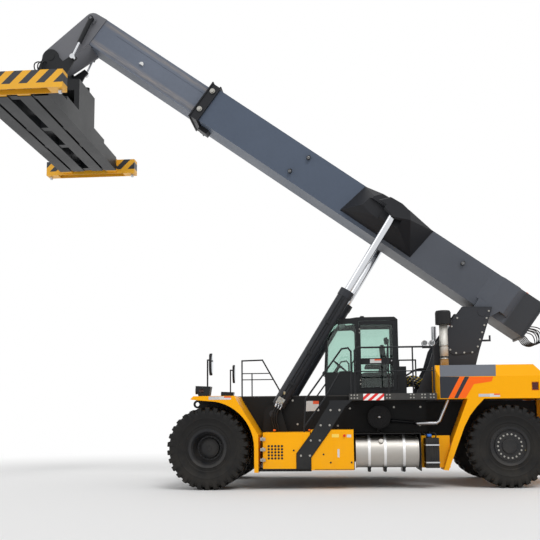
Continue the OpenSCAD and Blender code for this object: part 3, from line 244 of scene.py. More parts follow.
def make_groups():
    """Builds the effects that several finishes share."""
    takes = [("Color", COLOR), ("Scale", FLOAT, 1.0), ("Amount", FLOAT, 0.1)]
    tree, take, give = shader_group("Paint Variation", takes, [("Color", COLOR), ("Mask", FLOAT)])
    broad = noise(tree, take["Vector"], Scale=take["Scale"], Detail=4.0)
    fine = noise(tree, take["Vector"], Detail=6.0, Roughness=0.7, Scale=times(tree, take["Scale"], 13.0))
    mask = plus(tree, times(tree, broad, 0.65), times(tree, fine, 0.35))
    change = times(tree, minus(tree, mask, 0.5), take["Amount"])
    value = plus(tree, times(tree, change, 4.0), 1.0)
    shade = add(tree, "ShaderNodeHueSaturation", Color=take["Color"], Value=value)
    tree.links.new(shade.outputs[0], give["Color"])
    tree.links.new(mask, give["Mask"])

    takes = [("Color", COLOR), ("Dust", COLOR), ("Height", FLOAT, 1.2), ("Amount", FLOAT, 0.3)]
    tree, take, give = shader_group("Settled Dust", takes, [("Color", COLOR), ("Mask", FLOAT)])
    height = maths(tree, "DIVIDE", split(tree, take["Vector"])[2], take["Height"])
    fall = minus(tree, 1.0, height, clamp=True)
    stains = noise(tree, take["Vector"], Scale=3.5, Detail=7.0, Roughness=0.65)
    spread = times(tree, minus(tree, stains, 0.3), 1.8, clamp=True)
    mask = times(tree, times(tree, fall, spread), take["Amount"], clamp=True)
    tree.links.new(blend_colour(tree, mask, take["Color"], take["Dust"]), give["Color"])
    tree.links.new(mask, give["Mask"])

    tree, take, give = shader_group("Fine Relief", [("Scale", FLOAT, 60.0)], [("Height", FLOAT)])
    tree.links.new(noise(tree, take["Vector"], Scale=take["Scale"], Detail=3.0), give["Height"])

    gives = [("Mask", FLOAT), ("Height", FLOAT)]
    tree, take, give = shader_group("Brushed Streaks", [("Scale", FLOAT, 20.0)], gives)
    streaks = noise(tree, take["Vector"], Scale=take["Scale"], Detail=5.0, Roughness=0.6)
    tree.links.new(times(tree, minus(tree, streaks, 0.35), 3.0, clamp=True), give["Mask"])
    tree.links.new(streaks, give["Height"])

    takes = [("Across", FLOAT, 1.0), ("Up", FLOAT, 1.0), ("Period", FLOAT, 0.3), ("Share", FLOAT, 0.5)]
    tree, take, give = shader_group("Slanted Bands", takes, [("Mask", FLOAT)])
    parts = split(tree, take["Vector"])
    line = plus(tree, times(tree, parts[0], take["Across"]), times(tree, parts[2], take["Up"]))
    place = maths(tree, "FRACT", maths(tree, "DIVIDE", line, take["Period"]))
    tree.links.new(maths(tree, "LESS_THAN", place, take["Share"]), give["Mask"])


def use_group(tree, name, **sockets):
    """Places a shader group, and gives back its outputs."""
    return add(tree, "ShaderNodeGroup", {"node_tree": bpy.data.node_groups[name]}, **sockets).outputs


def rgba(tint):
    """A colour with full opacity."""
    return (*tuple(tint)[:3], 1.0)


def screen(*values):
    """A screen colour as a socket's value."""
    return rgba(linear(*values))


def start_material(name, **sockets):
    """An empty material with its Principled shader, and object coordinates."""
    material = bpy.data.materials.new(name)
    material.use_nodes = True
    tree = material.node_tree
    tree.nodes.clear()
    shader = add(tree, "ShaderNodeBsdfPrincipled", **sockets)
    out = tree.nodes.new("ShaderNodeOutputMaterial")
    tree.links.new(shader.outputs[0], out.inputs[0])
    where = tree.nodes.new("ShaderNodeTexCoord").outputs["Object"]
    return material, tree, shader.inputs, where


def emboss(tree, inputs, height, strength, distance):
    """Bumps a shader's surface."""
    bump = add(tree, "ShaderNodeBump", Strength=strength, Distance=distance, Height=height)
    tree.links.new(bump.outputs[0], inputs["Normal"])


# How far patches and dust roughen a surface, and the depth of its grain
PATCH_ROUGHNESS, DUST_ROUGHNESS, GRAIN_DEPTH = 0.35, 0.4, 0.002


def surface(
    tree, inputs, where, tint, rough,
    vary=0.1, scale=0.9, dust=0.0, dust_top=1.6, relief=0.12, relief_scale=90.0,
):
    """Colour variation, dust that thins out up to a height, and fine relief of one material."""
    varied = use_group(tree, "Paint Variation", Vector=where, Scale=scale, Amount=vary, Color=tint)
    fallen = {"Dust": rgba(colours().dust), "Height": dust_top, "Amount": dust}
    dusty = use_group(tree, "Settled Dust", Color=varied["Color"], Vector=where, **fallen)
    tree.links.new(dusty["Color"], inputs["Base Color"])
    patchy = times(tree, minus(tree, varied["Mask"], 0.5), PATCH_ROUGHNESS)
    under_dust = times(tree, dusty["Mask"], DUST_ROUGHNESS)
    rougher = plus(tree, plus(tree, patchy, rough), under_dust, clamp=True)
    tree.links.new(rougher, inputs["Roughness"])
    grain = use_group(tree, "Fine Relief", Vector=where, Scale=relief_scale)
    emboss(tree, inputs, grain["Height"], relief, GRAIN_DEPTH)


def painted(name, tint, rough=0.4, coat=0.0, shine=0.25, dust=0.25, **look):
    """A painted, moulded or rubber finish."""
    sockets = {"Coat_Weight": coat, "Coat_Roughness": 0.12, "Specular_IOR_Level": shine}
    material, tree, inputs, where = start_material(name, **sockets)
    surface(tree, inputs, where, rgba(tint), rough, dust=dust, **look)
    return material


def boom_space(tree, where):
    """Object coordinates turned so that X runs along the boom."""
    return mapped(tree, where, "TEXTURE", Location=BOOM.to_translation(), Rotation=(0, -BOOM_ANGLE, 0))


def between(tree, value, low, high, soft):
    """Mask that is 1 while a value lies between two limits."""
    rise = maths(tree, "DIVIDE", minus(tree, value, low - soft), soft * 2, clamp=True)
    drop = maths(tree, "DIVIDE", minus(tree, high + soft, value), soft * 2, clamp=True)
    return times(tree, rise, drop)


def outer_boom_painted_light():
    """Slate paint of the outer boom, with painted shade on its tail and a lighter, bluer painted sheen
    further ahead.
    """
    material, tree, inputs, where = start_material("boom_slate", Specular_IOR_Level=0.25)
    along = split(tree, boom_space(tree, where))[0]
    # Painted shade darkens the tail, and a painted sheen makes the boom lighter and bluer further ahead
    tail = between(tree, along, *TAIL, 0.03)
    ahead = between(tree, along, PAINTED_SHEEN_FROM, 20.0, 0.35)
    tint = blend_colour(tree, ahead, rgba(colours().boom), screen(78, 88, 104))
    tint = blend_colour(tree, tail, tint, screen(52, 54, 58))
    surface(tree, inputs, where, tint, 0.42)
    return material


def sliding_boom():
    """Slate paint of the inner boom, scuffed where the wear pads run along it."""
    material, tree, inputs, where = start_material("boom_slate_scuffed", Specular_IOR_Level=0.25)
    along = boom_space(tree, where)
    up = split(tree, along)[2]
    drawn = mapped(tree, along, Scale=(1.1, 4.0, 26.0))
    streaks = use_group(tree, "Brushed Streaks", Vector=drawn, Scale=2.0)
    run = maths(tree, "MAXIMUM", *(between(tree, up, low, high, 0.03) for low, high in PAD_RUNS))
    worn = times(tree, times(tree, run, streaks["Mask"]), 0.6)
    tint = blend_colour(tree, worn, screen(100, 107, 120), screen(160, 148, 134))
    surface(tree, inputs, where, tint, 0.46, vary=0.12)
    return material


def striped(name, first, second, up, period, dark_below=None):
    """Paint in slanted bands of two colours, with a dark edge below if asked."""
    material, tree, inputs, where = start_material(name)
    slant = {"Across": 1.0, "Up": up, "Period": period, "Share": 0.5}
    bands = use_group(tree, "Slanted Bands", Vector=where, **slant)
    tint = blend_colour(tree, bands["Mask"], first, second)
    if dark_below is not None:
        under = maths(tree, "LESS_THAN", split(tree, where)[2], dark_below)
        tint = blend_colour(tree, under, tint, second)
    surface(tree, inputs, where, tint, 0.4, scale=1.2, dust=0.1)
    return material


def brushed(name, tint, rough, stretch, scale, vary):
    """Bare or polished metal with streaks along one direction."""
    material, tree, inputs, where = start_material(name, Metallic=1.0)
    streaks = use_group(tree, "Brushed Streaks", Vector=mapped(tree, where, Scale=stretch), Scale=scale)
    varied = use_group(tree, "Paint Variation", Color=rgba(tint), Vector=where, Scale=1.6, Amount=vary)
    tree.links.new(varied["Color"], inputs["Base Color"])
    tree.links.new(plus(tree, times(tree, streaks["Mask"], 0.14), rough), inputs["Roughness"])
    emboss(tree, inputs, streaks["Height"], 0.08, 0.001)
    return material


def lift_rod():
    """Chrome of the lift rods, with the eyes at their upper ends painted."""
    material, tree, inputs, where = start_material("lift_rod_chrome")
    along = mapped(tree, where, "TEXTURE", Location=LIFT.to_translation(), Rotation=LIFT.to_euler())
    eye = maths(tree, "GREATER_THAN", split(tree, along)[0], EYE_START)
    bare = minus(tree, 1.0, eye)
    tree.links.new(blend_colour(tree, eye, screen(214, 216, 220), screen(38, 40, 45)), inputs["Base Color"])
    tree.links.new(bare, inputs["Metallic"])
    tree.links.new(minus(tree, 0.42, times(tree, bare, 0.3)), inputs["Roughness"])
    return material


def clear(name, tint, rough=0.02, glow=None):
    """Glass or a lens, faintly streaked, and lit from within if asked."""
    material, tree, inputs, where = start_material(name, Transmission_Weight=1.0, IOR=1.45)
    varied = use_group(tree, "Paint Variation", Color=rgba(tint), Vector=where, Scale=2.0, Amount=0.03)
    tree.links.new(varied["Color"], inputs["Base Color"])
    film = times(tree, minus(tree, varied["Mask"], 0.45), 0.12, clamp=True)
    tree.links.new(plus(tree, film, rough), inputs["Roughness"])
    if glow:
        inputs["Emission Color"].default_value = rgba(tint)
        inputs["Emission Strength"].default_value = glow
    return material


# Length of one turn of a hose's guard, and the share of it that the band covers
WRAP_PERIOD, WRAP_SHARE = 0.09, 0.28


def spiral_wrap(name, tint, wrap):
    """Hose rubber with a coloured guard wound round it, read from the piece's own UV map."""
    material, tree, inputs, where = start_material(name, Roughness=0.5)
    uv = split(tree, add(tree, "ShaderNodeUVMap", {"uv_map": "along"}).outputs[0])
    turn = plus(tree, maths(tree, "DIVIDE", uv[0], WRAP_PERIOD), uv[1])
    band = maths(tree, "LESS_THAN", maths(tree, "FRACT", turn), WRAP_SHARE)
    mixed = blend_colour(tree, band, tint, wrap)
    surface(tree, inputs, where, mixed, 0.5, scale=2.0, dust=0.05, relief=0.1, relief_scale=120.0)
    return material


def chequered(name, tint):
    """Deck plate with a raised pattern of short bars."""
    material, tree, inputs, where = start_material(name)
    surface(tree, inputs, where, rgba(tint), 0.5, vary=0.16, scale=1.4, dust=0.25, dust_top=6.0, relief=0.1)
    turned = split(tree, mapped(tree, where, Rotation=(0, 0, math.radians(45)), Scale=(28.0, 28.0, 28.0)))
    waves = [maths(tree, "SINE", times(tree, turned[i], math.pi)) for i in (0, 1)]
    bars = maths(tree, "GREATER_THAN", times(tree, *waves), 0.55)
    emboss(tree, inputs, bars, 0.6, 0.003)
    return material


MATERIALS = {}


# Paints and mouldings: finish, material's name, screen colour or name of a user's colour, look
PAINTS = [
    ("yellow", "body_yellow", "body",
     dict(rough=0.34, coat=0.05, shine=0.12, vary=0.05, dust=0.15, dust_top=1.3)),
    ("slate_pale", "boom_slate_pale", (108, 109, 114), dict(rough=0.45)),
    ("slate_dark", "tower_slate", (46, 48, 53), dict(rough=0.42)),
    # A darker copy of the slate paint, as painted shade on the collar and the cylinder bracket
    ("slate_painted_shade", "collar_slate", (30, 31, 35), dict(rough=0.45)),
    # A darker copy of the frame's black, as painted shade on the chassis
    ("black", "chassis_black", (9, 9, 10), dict(rough=0.5, vary=0.2, dust=0.05, dust_top=1.4)),
    ("frame", "frame_black", "frame", dict(rough=0.44, coat=0.05, vary=0.14, dust=0.12, dust_top=1.8)),
    ("rails", "rail_black", "frame", dict(rough=0.36, coat=0.05, vary=0.08, dust=0.1)),
    ("plastic", "moulded_black", (30, 30, 32), dict(rough=0.5, relief=0.3, relief_scale=160.0)),
    ("fabric", "seat_fabric", (40, 42, 46),
     dict(rough=0.85, vary=0.15, scale=8.0, relief=0.6, relief_scale=260.0)),
    ("rubber", "tyre_rubber", "rubber",
     dict(rough=0.6, shine=0.22, vary=0.2, scale=2.2, dust=0.12, dust_top=1.9, relief=0.35,
          relief_scale=70.0)),
    ("hose", "hose_rubber", (26, 26, 27),
     dict(rough=0.55, vary=0.12, scale=4.0, relief=0.2, relief_scale=200.0)),
    ("rim", "rim_black", "rim", dict(rough=0.38, coat=0.05, vary=0.12, dust_top=1.7)),
    ("band", "band_grey", "band", dict(rough=0.36, coat=0.05, vary=0.06)),
    ("panel", "panel_slate", (44, 47, 54), dict(rough=0.36, coat=0.05, vary=0.06)),
    ("accent", "accent_orange", "accent", dict(rough=0.34, coat=0.05, vary=0.05)),
    ("blank", "blank_plate", (214, 215, 214), dict(rough=0.5, vary=0.05, dust=0.15)),
    ("band_pale", "pale_strip", (196, 198, 202), dict(vary=0.05, dust=0.1)),
    ("note", "note_plate", (250, 214, 96), dict(rough=0.5, vary=0.04, dust=0.1)),
    ("blank_orange", "blank_plate_head", (232, 96, 58), dict(rough=0.45, vary=0.05, dust=0.1)),
    ("engine", "engine_grey", (96, 98, 100), dict(rough=0.55, vary=0.2, scale=3.0)),
    ("red", "signal_red", "signal", dict(rough=0.35, coat=0.05, vary=0.05)),
    ("blue", "cap_blue", (64, 120, 210), dict(vary=0.05)),
]
# Metals: finish, material's name, screen colour, roughness, stretch of the streaks, their scale, variation
METALS = [
    ("steel", "plated_steel", (196, 197, 200), 0.28, (1.0, 9.0, 9.0), 9.0, 0.12),
    ("tank", "polished_tank", (184, 180, 174), 0.36, (1.0, 26.0, 26.0), 5.0, 0.08),
    ("strap", "strap_steel", (232, 232, 232), 0.5, (6.0, 6.0, 6.0), 10.0, 0.06),
    ("stack", "stack_steel", (202, 200, 194), 0.56, (6.0, 6.0, 1.0), 10.0, 0.12),
    ("chrome", "rod_chrome", (214, 216, 220), 0.1, (3.0, 3.0, 3.0), 20.0, 0.04),
    ("mirror", "mirror_face", (206, 212, 218), 0.04, (1.0, 1.0, 1.0), 2.0, 0.02),
    ("bolt", "bolt_zinc", (168, 166, 160), 0.34, (6.0, 6.0, 6.0), 12.0, 0.15),
    ("brass", "dull_brass", (176, 158, 112), 0.36, (4.0, 4.0, 4.0), 12.0, 0.15),
]


def make_materials():
    """Builds every finish of the machine."""
    c = colours()
    for finish, name, tint, look in PAINTS:
        tint = getattr(c, tint) if isinstance(tint, str) else linear(*tint)
        MATERIALS[finish] = painted(name, tint, **look)
    for finish, name, tint, *look in METALS:
        MATERIALS[finish] = brushed(name, linear(*tint), *look)
    MATERIALS["slate"] = outer_boom_painted_light()
    MATERIALS["slate_scuffed"] = sliding_boom()
    MATERIALS["deck"] = chequered("deck_plate", c.frame)
    MATERIALS["lift_rod"] = lift_rod()
    MATERIALS["glass"] = clear("cab_glass", c.glass)
    MATERIALS["lens"] = clear("lamp_lens", linear(236, 238, 240), 0.08, 0.12)
    MATERIALS["amber"] = clear("amber_lens", linear(236, 104, 20), 0.12, 0.02)
    MATERIALS["wrapped"] = spiral_wrap("wrapped_hose", screen(26, 26, 27), screen(206, 176, 44))
    grey, yellow, white = screen(46, 48, 52), screen(228, 168, 40), screen(238, 238, 236)
    MATERIALS["spreader"] = striped("spreader_stripes", grey, yellow, 1.0, 0.36, 8.15)
    MATERIALS["hazard"] = striped("red_white_stripes", white, rgba(c.signal), 1.15, 0.158)


# Finish of each CAD node
FINISHES = {
    "yellow": ["counterweight", "engine_hood", "fenders", "side_cabinets"],
    "slate": ["boom_outer"],
    "slate_pale": ["boom_head"],
    "slate_dark": ["boom_tower", "lift_barrels"],
    # The collar and the cylinder bracket take the darker slate as painted shade
    "slate_painted_shade": ["boom_collar", "cylinder_bracket"],
    "slate_scuffed": ["boom_inner"],
    # The chassis takes the darker black as painted shade
    "black": ["chassis_frame"],
    "frame": [
        "front_axle", "rear_axle", "knuckle_left", "knuckle_right", "steering_rod", "cab_shell", "cab_door",
        "stairs", "front_lamps", "hydraulic_tank", "tilt_yoke", "slew_carriage", "spreader_frame",
        "damper_barrels",
    ],
    "rails": ["handrails"],
    "deck": ["walkways"],
    "rubber": ["front_tyres_left", "front_tyres_right", "rear_tyre_left", "rear_tyre_right"],
    "rim": ["front_rims_left", "front_rims_right", "rear_rim_left", "rear_rim_right"],
    "plastic": [
        "mirrors", "urea_tank", "controls", "air_filter", "air_intake", "work_lamps", "boom_lamps", "seat",
    ],
    "glass": ["cab_glass", "door_glass"],
    "amber": ["marker_lamps"],
    "engine": ["engine_block"],
    "tank": ["fuel_tank"],
    "strap": ["tank_straps"],
    "bolt": ["valve_block"],
    "steel": ["exhaust_pipes", "twistlock_lf", "twistlock_lr", "twistlock_rf", "twistlock_rr"],
    "lift_rod": ["lift_rods"],
    "chrome": ["damper_rods"],
    "spreader": ["spreader_end_left", "spreader_end_right"],
}


# Mesh making


def around(count):
    """Cosine and sine of evenly spaced turns round a circle."""
    turns = [math.tau * i / count for i in range(count)]
    return [(math.cos(a), math.sin(a)) for a in turns]


def smooth_path(points, steps=8):
    """Points of a soft curve through the given ones."""
    pts = [Vector(p) for p in points]
    ends = [pts[0] * 2 - pts[1]] + pts + [pts[-1] * 2 - pts[-2]]
    path = []
    for i in range(1, len(ends) - 2):
        a, b, c, d = ends[i - 1 : i + 3]
        for k in range(steps):
            t = k / steps
            bend, twist = 2 * a - 5 * b + 4 * c - d, 3 * b - a - 3 * c + d
            path.append(0.5 * (2 * b + (c - a) * t + bend * t * t + twist * t**3))
    return path + [pts[-1]]


def ring(inner, outer, low, high):
    """Outline of a ring for Shape.turned."""
    return [(inner, low), (inner, high), (outer, high), (outer, low)]


def dome(inner, outer, top, edge, shoulder, base=0.0):
    """Outline of a knob or lens for Shape.turned. The last four are heights."""
    return [(0, top), (inner, edge), (outer, shoulder), (outer, base), (0, base)]


def link(name, data):
    """A new object in the scene."""
    made = bpy.data.objects.new(name, data)
    bpy.context.scene.collection.objects.link(made)
    return made


# Edges that turn by more degrees than this are bevelled
BEVEL_ANGLE = 40


class Shape:
    """Faces of one piece, each with its finish, gathered before the mesh is made."""

    def __init__(self, place=TRUCK):
        self.place, self.finishes = place, []
        self.points, self.faces, self.slots, self.smooth, self.uv = [], [], [], [], {}

    def add(self, points, faces, finish, smooth=False, place=None):
        """Adds faces, with their points in this shape's own space."""
        if finish not in self.finishes:
            self.finishes.append(finish)
        start, slot, where = len(self.points), self.finishes.index(finish), place or self.place
        self.points += [where @ Vector(p) for p in points]
        self.faces += [[start + i for i in face] for face in faces]
        self.slots += [slot] * len(faces)
        self.smooth += [smooth] * len(faces)

    def slab(self, outline, thickness, finish):
        """A flat outline given thickness along a vector."""
        n, push = len(outline), Vector(thickness)
        points = [Vector(p) for p in outline]
        points += [p + push for p in points]
        faces = [list(range(n))[::-1], list(range(n, 2 * n))]
        faces += [[i, (i + 1) % n, (i + 1) % n + n, i + n] for i in range(n)]
        self.add(points, faces, finish)

    def block(self, low, high, finish):
        """A box between two corners."""
        (x0, x1), (y0, y1), (z0, z1) = (sorted(pair) for pair in zip(low, high))
        self.slab([(x0, y0, z0), (x1, y0, z0), (x1, y1, z0), (x0, y1, z0)], (0, 0, z1 - z0), finish)

    def tube(self, path, radius, finish, sides=12, record_uv=False):
        """A round tube along a path. Its length and turn can be kept as a UV map, for wound guards."""
        path = [Vector(p) for p in path]
        rings, turn, gone = [], None, 0.0
        start = len(self.points)
        for i, p in enumerate(path):
            ahead = (path[min(i + 1, len(path) - 1)] - path[max(i - 1, 0)]).normalized()
            if turn is None:
                turn = ahead.orthogonal().normalized()
            turn = (turn - ahead * turn.dot(ahead)).normalized()
            other = ahead.cross(turn)
            gone += (p - path[i - 1]).length if i else 0.0
            for k, (c, s) in enumerate(around(sides)):
                if record_uv:
                    self.uv[start + len(rings)] = (gone, k / sides)
                rings.append(p + (turn * c + other * s) * radius)
        last = (len(path) - 1) * sides
        faces = []
        for low in range(0, last, sides):
            for k in range(sides):
                after = (k + 1) % sides
                faces.append([low + k, low + after, low + sides + after, low + sides + k])
        self.add(rings, faces, finish, smooth=sides > 8)
        slot = self.finishes.index(finish)
        for cap in (range(sides)[::-1], range(last, last + sides)):
            self.faces.append([start + i for i in cap])
            self.slots.append(slot)
            self.smooth.append(False)

    def rod(self, a, b, radius, finish, sides=20):
        """A straight round bar."""
        self.tube([a, b], radius, finish, sides)

    def turned(self, outline, centre, axis, finish, steps=64):
        """An outline of (radius, place along the axis) turned about an axis. Its ends may lie on the axis."""
        centre, axis = Vector(centre), Vector(axis).normalized()
        side = axis.orthogonal().normalized()
        other = axis.cross(side)
        points, rows = [], []
        for r, t in outline:
            start = len(points)
            points += [centre + axis * t + (side * c + other * s) * r for c, s in around(steps if r else 1)]
            rows.append(range(start, len(points)))
        faces = []
        closed = outline[0][0] and outline[-1][0]
        for low, high in list(zip(rows, rows[1:])) + ([(rows[-1], rows[0])] if closed else []):
            for k in range(steps):
                corners = ((low, k), (low, k + 1), (high, k + 1), (high, k))
                faces.append(list(dict.fromkeys(row[i % len(row)] for row, i in corners)))
        self.add(points, faces, finish, True)

    def take(self, mesh, finish):
        """Adds another mesh that is already in place."""
        faces = [list(p.vertices) for p in mesh.polygons]
        self.add([v.co for v in mesh.vertices], faces, finish, place=Matrix.Identity(4))

    def mesh(self, name, bevel=0.0, segments=1):
        """The gathered faces as a mesh, with faces turned outwards."""
        mesh = bpy.data.meshes.new(name)
        mesh.from_pydata([tuple(p) for p in self.points], [], self.faces)
        for finish in self.finishes:
            mesh.materials.append(MATERIALS[finish])
        mesh.polygons.foreach_set("material_index", self.slots)
        mesh.polygons.foreach_set("use_smooth", self.smooth)
        if self.uv:
            layer = mesh.uv_layers.new(name="along")
            for polygon in mesh.polygons:
                spots = [self.uv.get(v, (0.0, 0.0)) for v in polygon.vertices]
                turns = [v for u, v in spots]
                wraps = max(turns) - min(turns) > 0.5
                for loop, (u, v) in zip(polygon.loop_indices, spots):
                    layer.data[loop].uv = (u, v + 1.0 if wraps and v < 0.5 else v)
        work = bmesh.new()
        work.from_mesh(mesh)
        bmesh.ops.recalc_face_normals(work, faces=work.faces)
        if bevel:
            least = math.radians(BEVEL_ANGLE)
            sharp = [e for e in work.edges if len(e.link_faces) == 2 and e.calc_face_angle(0) > least]
            shape = {"offset": bevel, "segments": segments, "profile": 0.5, "clamp_overlap": True}
            bmesh.ops.bevel(work, geom=sharp, affect="EDGES", **shape)
        work.to_mesh(mesh)
        work.free()
        mesh.update()
        return mesh

    def finish(self, name, body, slot=None, bevel=0.0, segments=1, bend=None):
        """Makes the piece, and lets it ride on a body; a piece given a second body is left unattached in the
        scene's space.
        """
        piece = link(name, self.mesh(name, bevel, segments))
        if bend:
            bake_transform(piece)
        else:
            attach(piece, body)
        return piece


# Geometry Nodes


def geometry_tree(name, takes):
    """A Geometry Nodes tree with named inputs."""
    takes = [("Geometry", GEOMETRY), *takes, ("Material", MATERIAL)]
    return open_tree(name, "GeometryNodeTree", takes, [("Geometry", GEOMETRY)])


def real_copies(tree, points, shape, turn):
    """Copies of a shape on points, as plain geometry."""
    spread = add(tree, "GeometryNodeInstanceOnPoints", Points=points, Instance=shape, Rotation=turn)
    return add(tree, "GeometryNodeRealizeInstances", Geometry=spread.outputs[0]).outputs[0]


def give_out(tree, give, made, material):
    """Sets the material, and gives out what the tree makes."""
    done = add(tree, "GeometryNodeSetMaterial", Geometry=made, Material=material)
    tree.links.new(done.outputs[0], give[0])


def bolt_heads():
    """Tree that sets a hexagon head on a washer at each point, turned to the face it sits on."""
    takes = [("Width", FLOAT, 0.034), ("Height", FLOAT, 0.02), ("Sides", INT, 6)]
    tree, take, give = geometry_tree("Bolt Heads", takes)
    half = maths(tree, "DIVIDE", take["Width"], 2.0)
    head = add(tree, "GeometryNodeMeshCylinder", Vertices=take["Sides"], Radius=half, Depth=take["Height"])
    lift = add(tree, "ShaderNodeCombineXYZ", Z=times(tree, take["Height"], 0.62))
    head = add(tree, "GeometryNodeTransform", Geometry=head.outputs[0], Translation=lift.outputs[0])
    thin, wide = times(tree, take["Height"], 0.26), times(tree, half, 1.45)
    washer = add(tree, "GeometryNodeMeshCylinder", Vertices=14, Radius=wide, Depth=thin)
    both = add(tree, "GeometryNodeJoinGeometry", _0=washer.outputs[0])
    tree.links.new(head.outputs[0], both.inputs[0])
    facing = add(tree, "GeometryNodeInputNamedAttribute", {"data_type": "FLOAT_VECTOR"}, Name="facing")
    turn = add(tree, "FunctionNodeAlignRotationToVector", {"axis": "Z"}, Vector=facing.outputs[0])
    made = real_copies(tree, take["Geometry"], both.outputs[0], turn.outputs[0])
    give_out(tree, give, made, take["Material"])
    return tree


def ring_copies():
    """Tree that sets copies of a mesh round the Y axis."""
    takes = [("Count", INT, 30), ("Turn", FLOAT, 0.0), ("Centre", VECTOR)]
    tree, take, give = geometry_tree("Ring Copies", takes)
    line = add(tree, "GeometryNodeMeshLine", Count=take["Count"], Offset=(0.0, 0.0, 0.0))
    index = tree.nodes.new("GeometryNodeInputIndex").outputs[0]
    step = maths(tree, "DIVIDE", math.tau, take["Count"])
    turn = add(tree, "ShaderNodeCombineXYZ", Y=plus(tree, times(tree, index, step), take["Turn"]))
    made = real_copies(tree, line.outputs[0], take["Geometry"], turn.outputs[0])
    moved = add(tree, "GeometryNodeTransform", Geometry=made, Translation=take["Centre"])
    give_out(tree, give, moved.outputs[0], take["Material"])
    return tree


def grown(mesh, tree, **inputs):
    """What a Geometry Nodes tree makes of a mesh, as a plain mesh."""
    host = link("host", mesh)
    modifier = host.modifiers.new("grow", "NODES")
    modifier.node_group = tree
    for item in tree.interface.items_tree:
        if item.item_type == "SOCKET" and item.in_out == "INPUT" and item.name in inputs:
            modifier[item.identifier] = inputs[item.name]
    bpy.context.view_layer.update()
    made = bpy.data.meshes.new_from_object(host.evaluated_get(bpy.context.evaluated_depsgraph_get()))
    host.modifiers.remove(modifier)
    bpy.data.objects.remove(host)
    return made


def bolts(name, body, spots, finish="bolt", width=None, height=0.02, place=TRUCK):
    """Bolt heads at spots, each a point and the way it faces, made by the Bolt Heads tree."""
    mesh = bpy.data.meshes.new(name + "_spots")
    mesh.from_pydata([tuple(place @ Vector(p)) for p, facing in spots], [], [])
    facing = mesh.attributes.new("facing", "FLOAT_VECTOR", "POINT")
    turn = place.to_3x3()
    for i, (p, way) in enumerate(spots):
        facing.data[i].vector = turn @ Vector(way)
    tree = bpy.data.node_groups.get("Bolt Heads") or bolt_heads()
    made = grown(mesh, tree, Width=width or sizes().bolt, Height=height, Sides=6, Material=MATERIALS[finish])
    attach(link(name, made), body)


def ring_spots(centre, radius, count, way):
    """Spots on a circle round an axis along Y."""
    x, y, z = centre
    return [((x + radius * c, y, z + radius * s), (0, way, 0)) for c, s in around(count)]


class StackerStep:
    """What the operators share. An error in one of them stops the build."""

    bl_options = {"REGISTER", "UNDO"}


# Share of the white world that lights surfaces; the camera, reflections and glass see it whole
WORLD_LIGHT = 0.62
# The floor's radius and depth, where it starts to fade into the background, and how far the fade runs
FLOOR_RADIUS, FLOOR_DEPTH, FADE_START, FADE_RUN = 90, 0.02, 9.0, 9.0
# Name, strength, the way it shines, and its softness in degrees
SUNS = [("key_sun", 1.1, (0.35, -0.75, -0.9), 25), ("fill_sun", 0.35, (-0.8, -0.4, -0.6), 40)]
# The photograph's camera, placed from the front axle: yaw, pitch and roll in degrees
CAMERA_PLACE = (-2.653, 18.513, 1.390)
CAMERA_TURN = (4.774, 7.221, -0.474)
CAMERA_LENS = 54.98
CAMERA_SHIFT = 0.0827


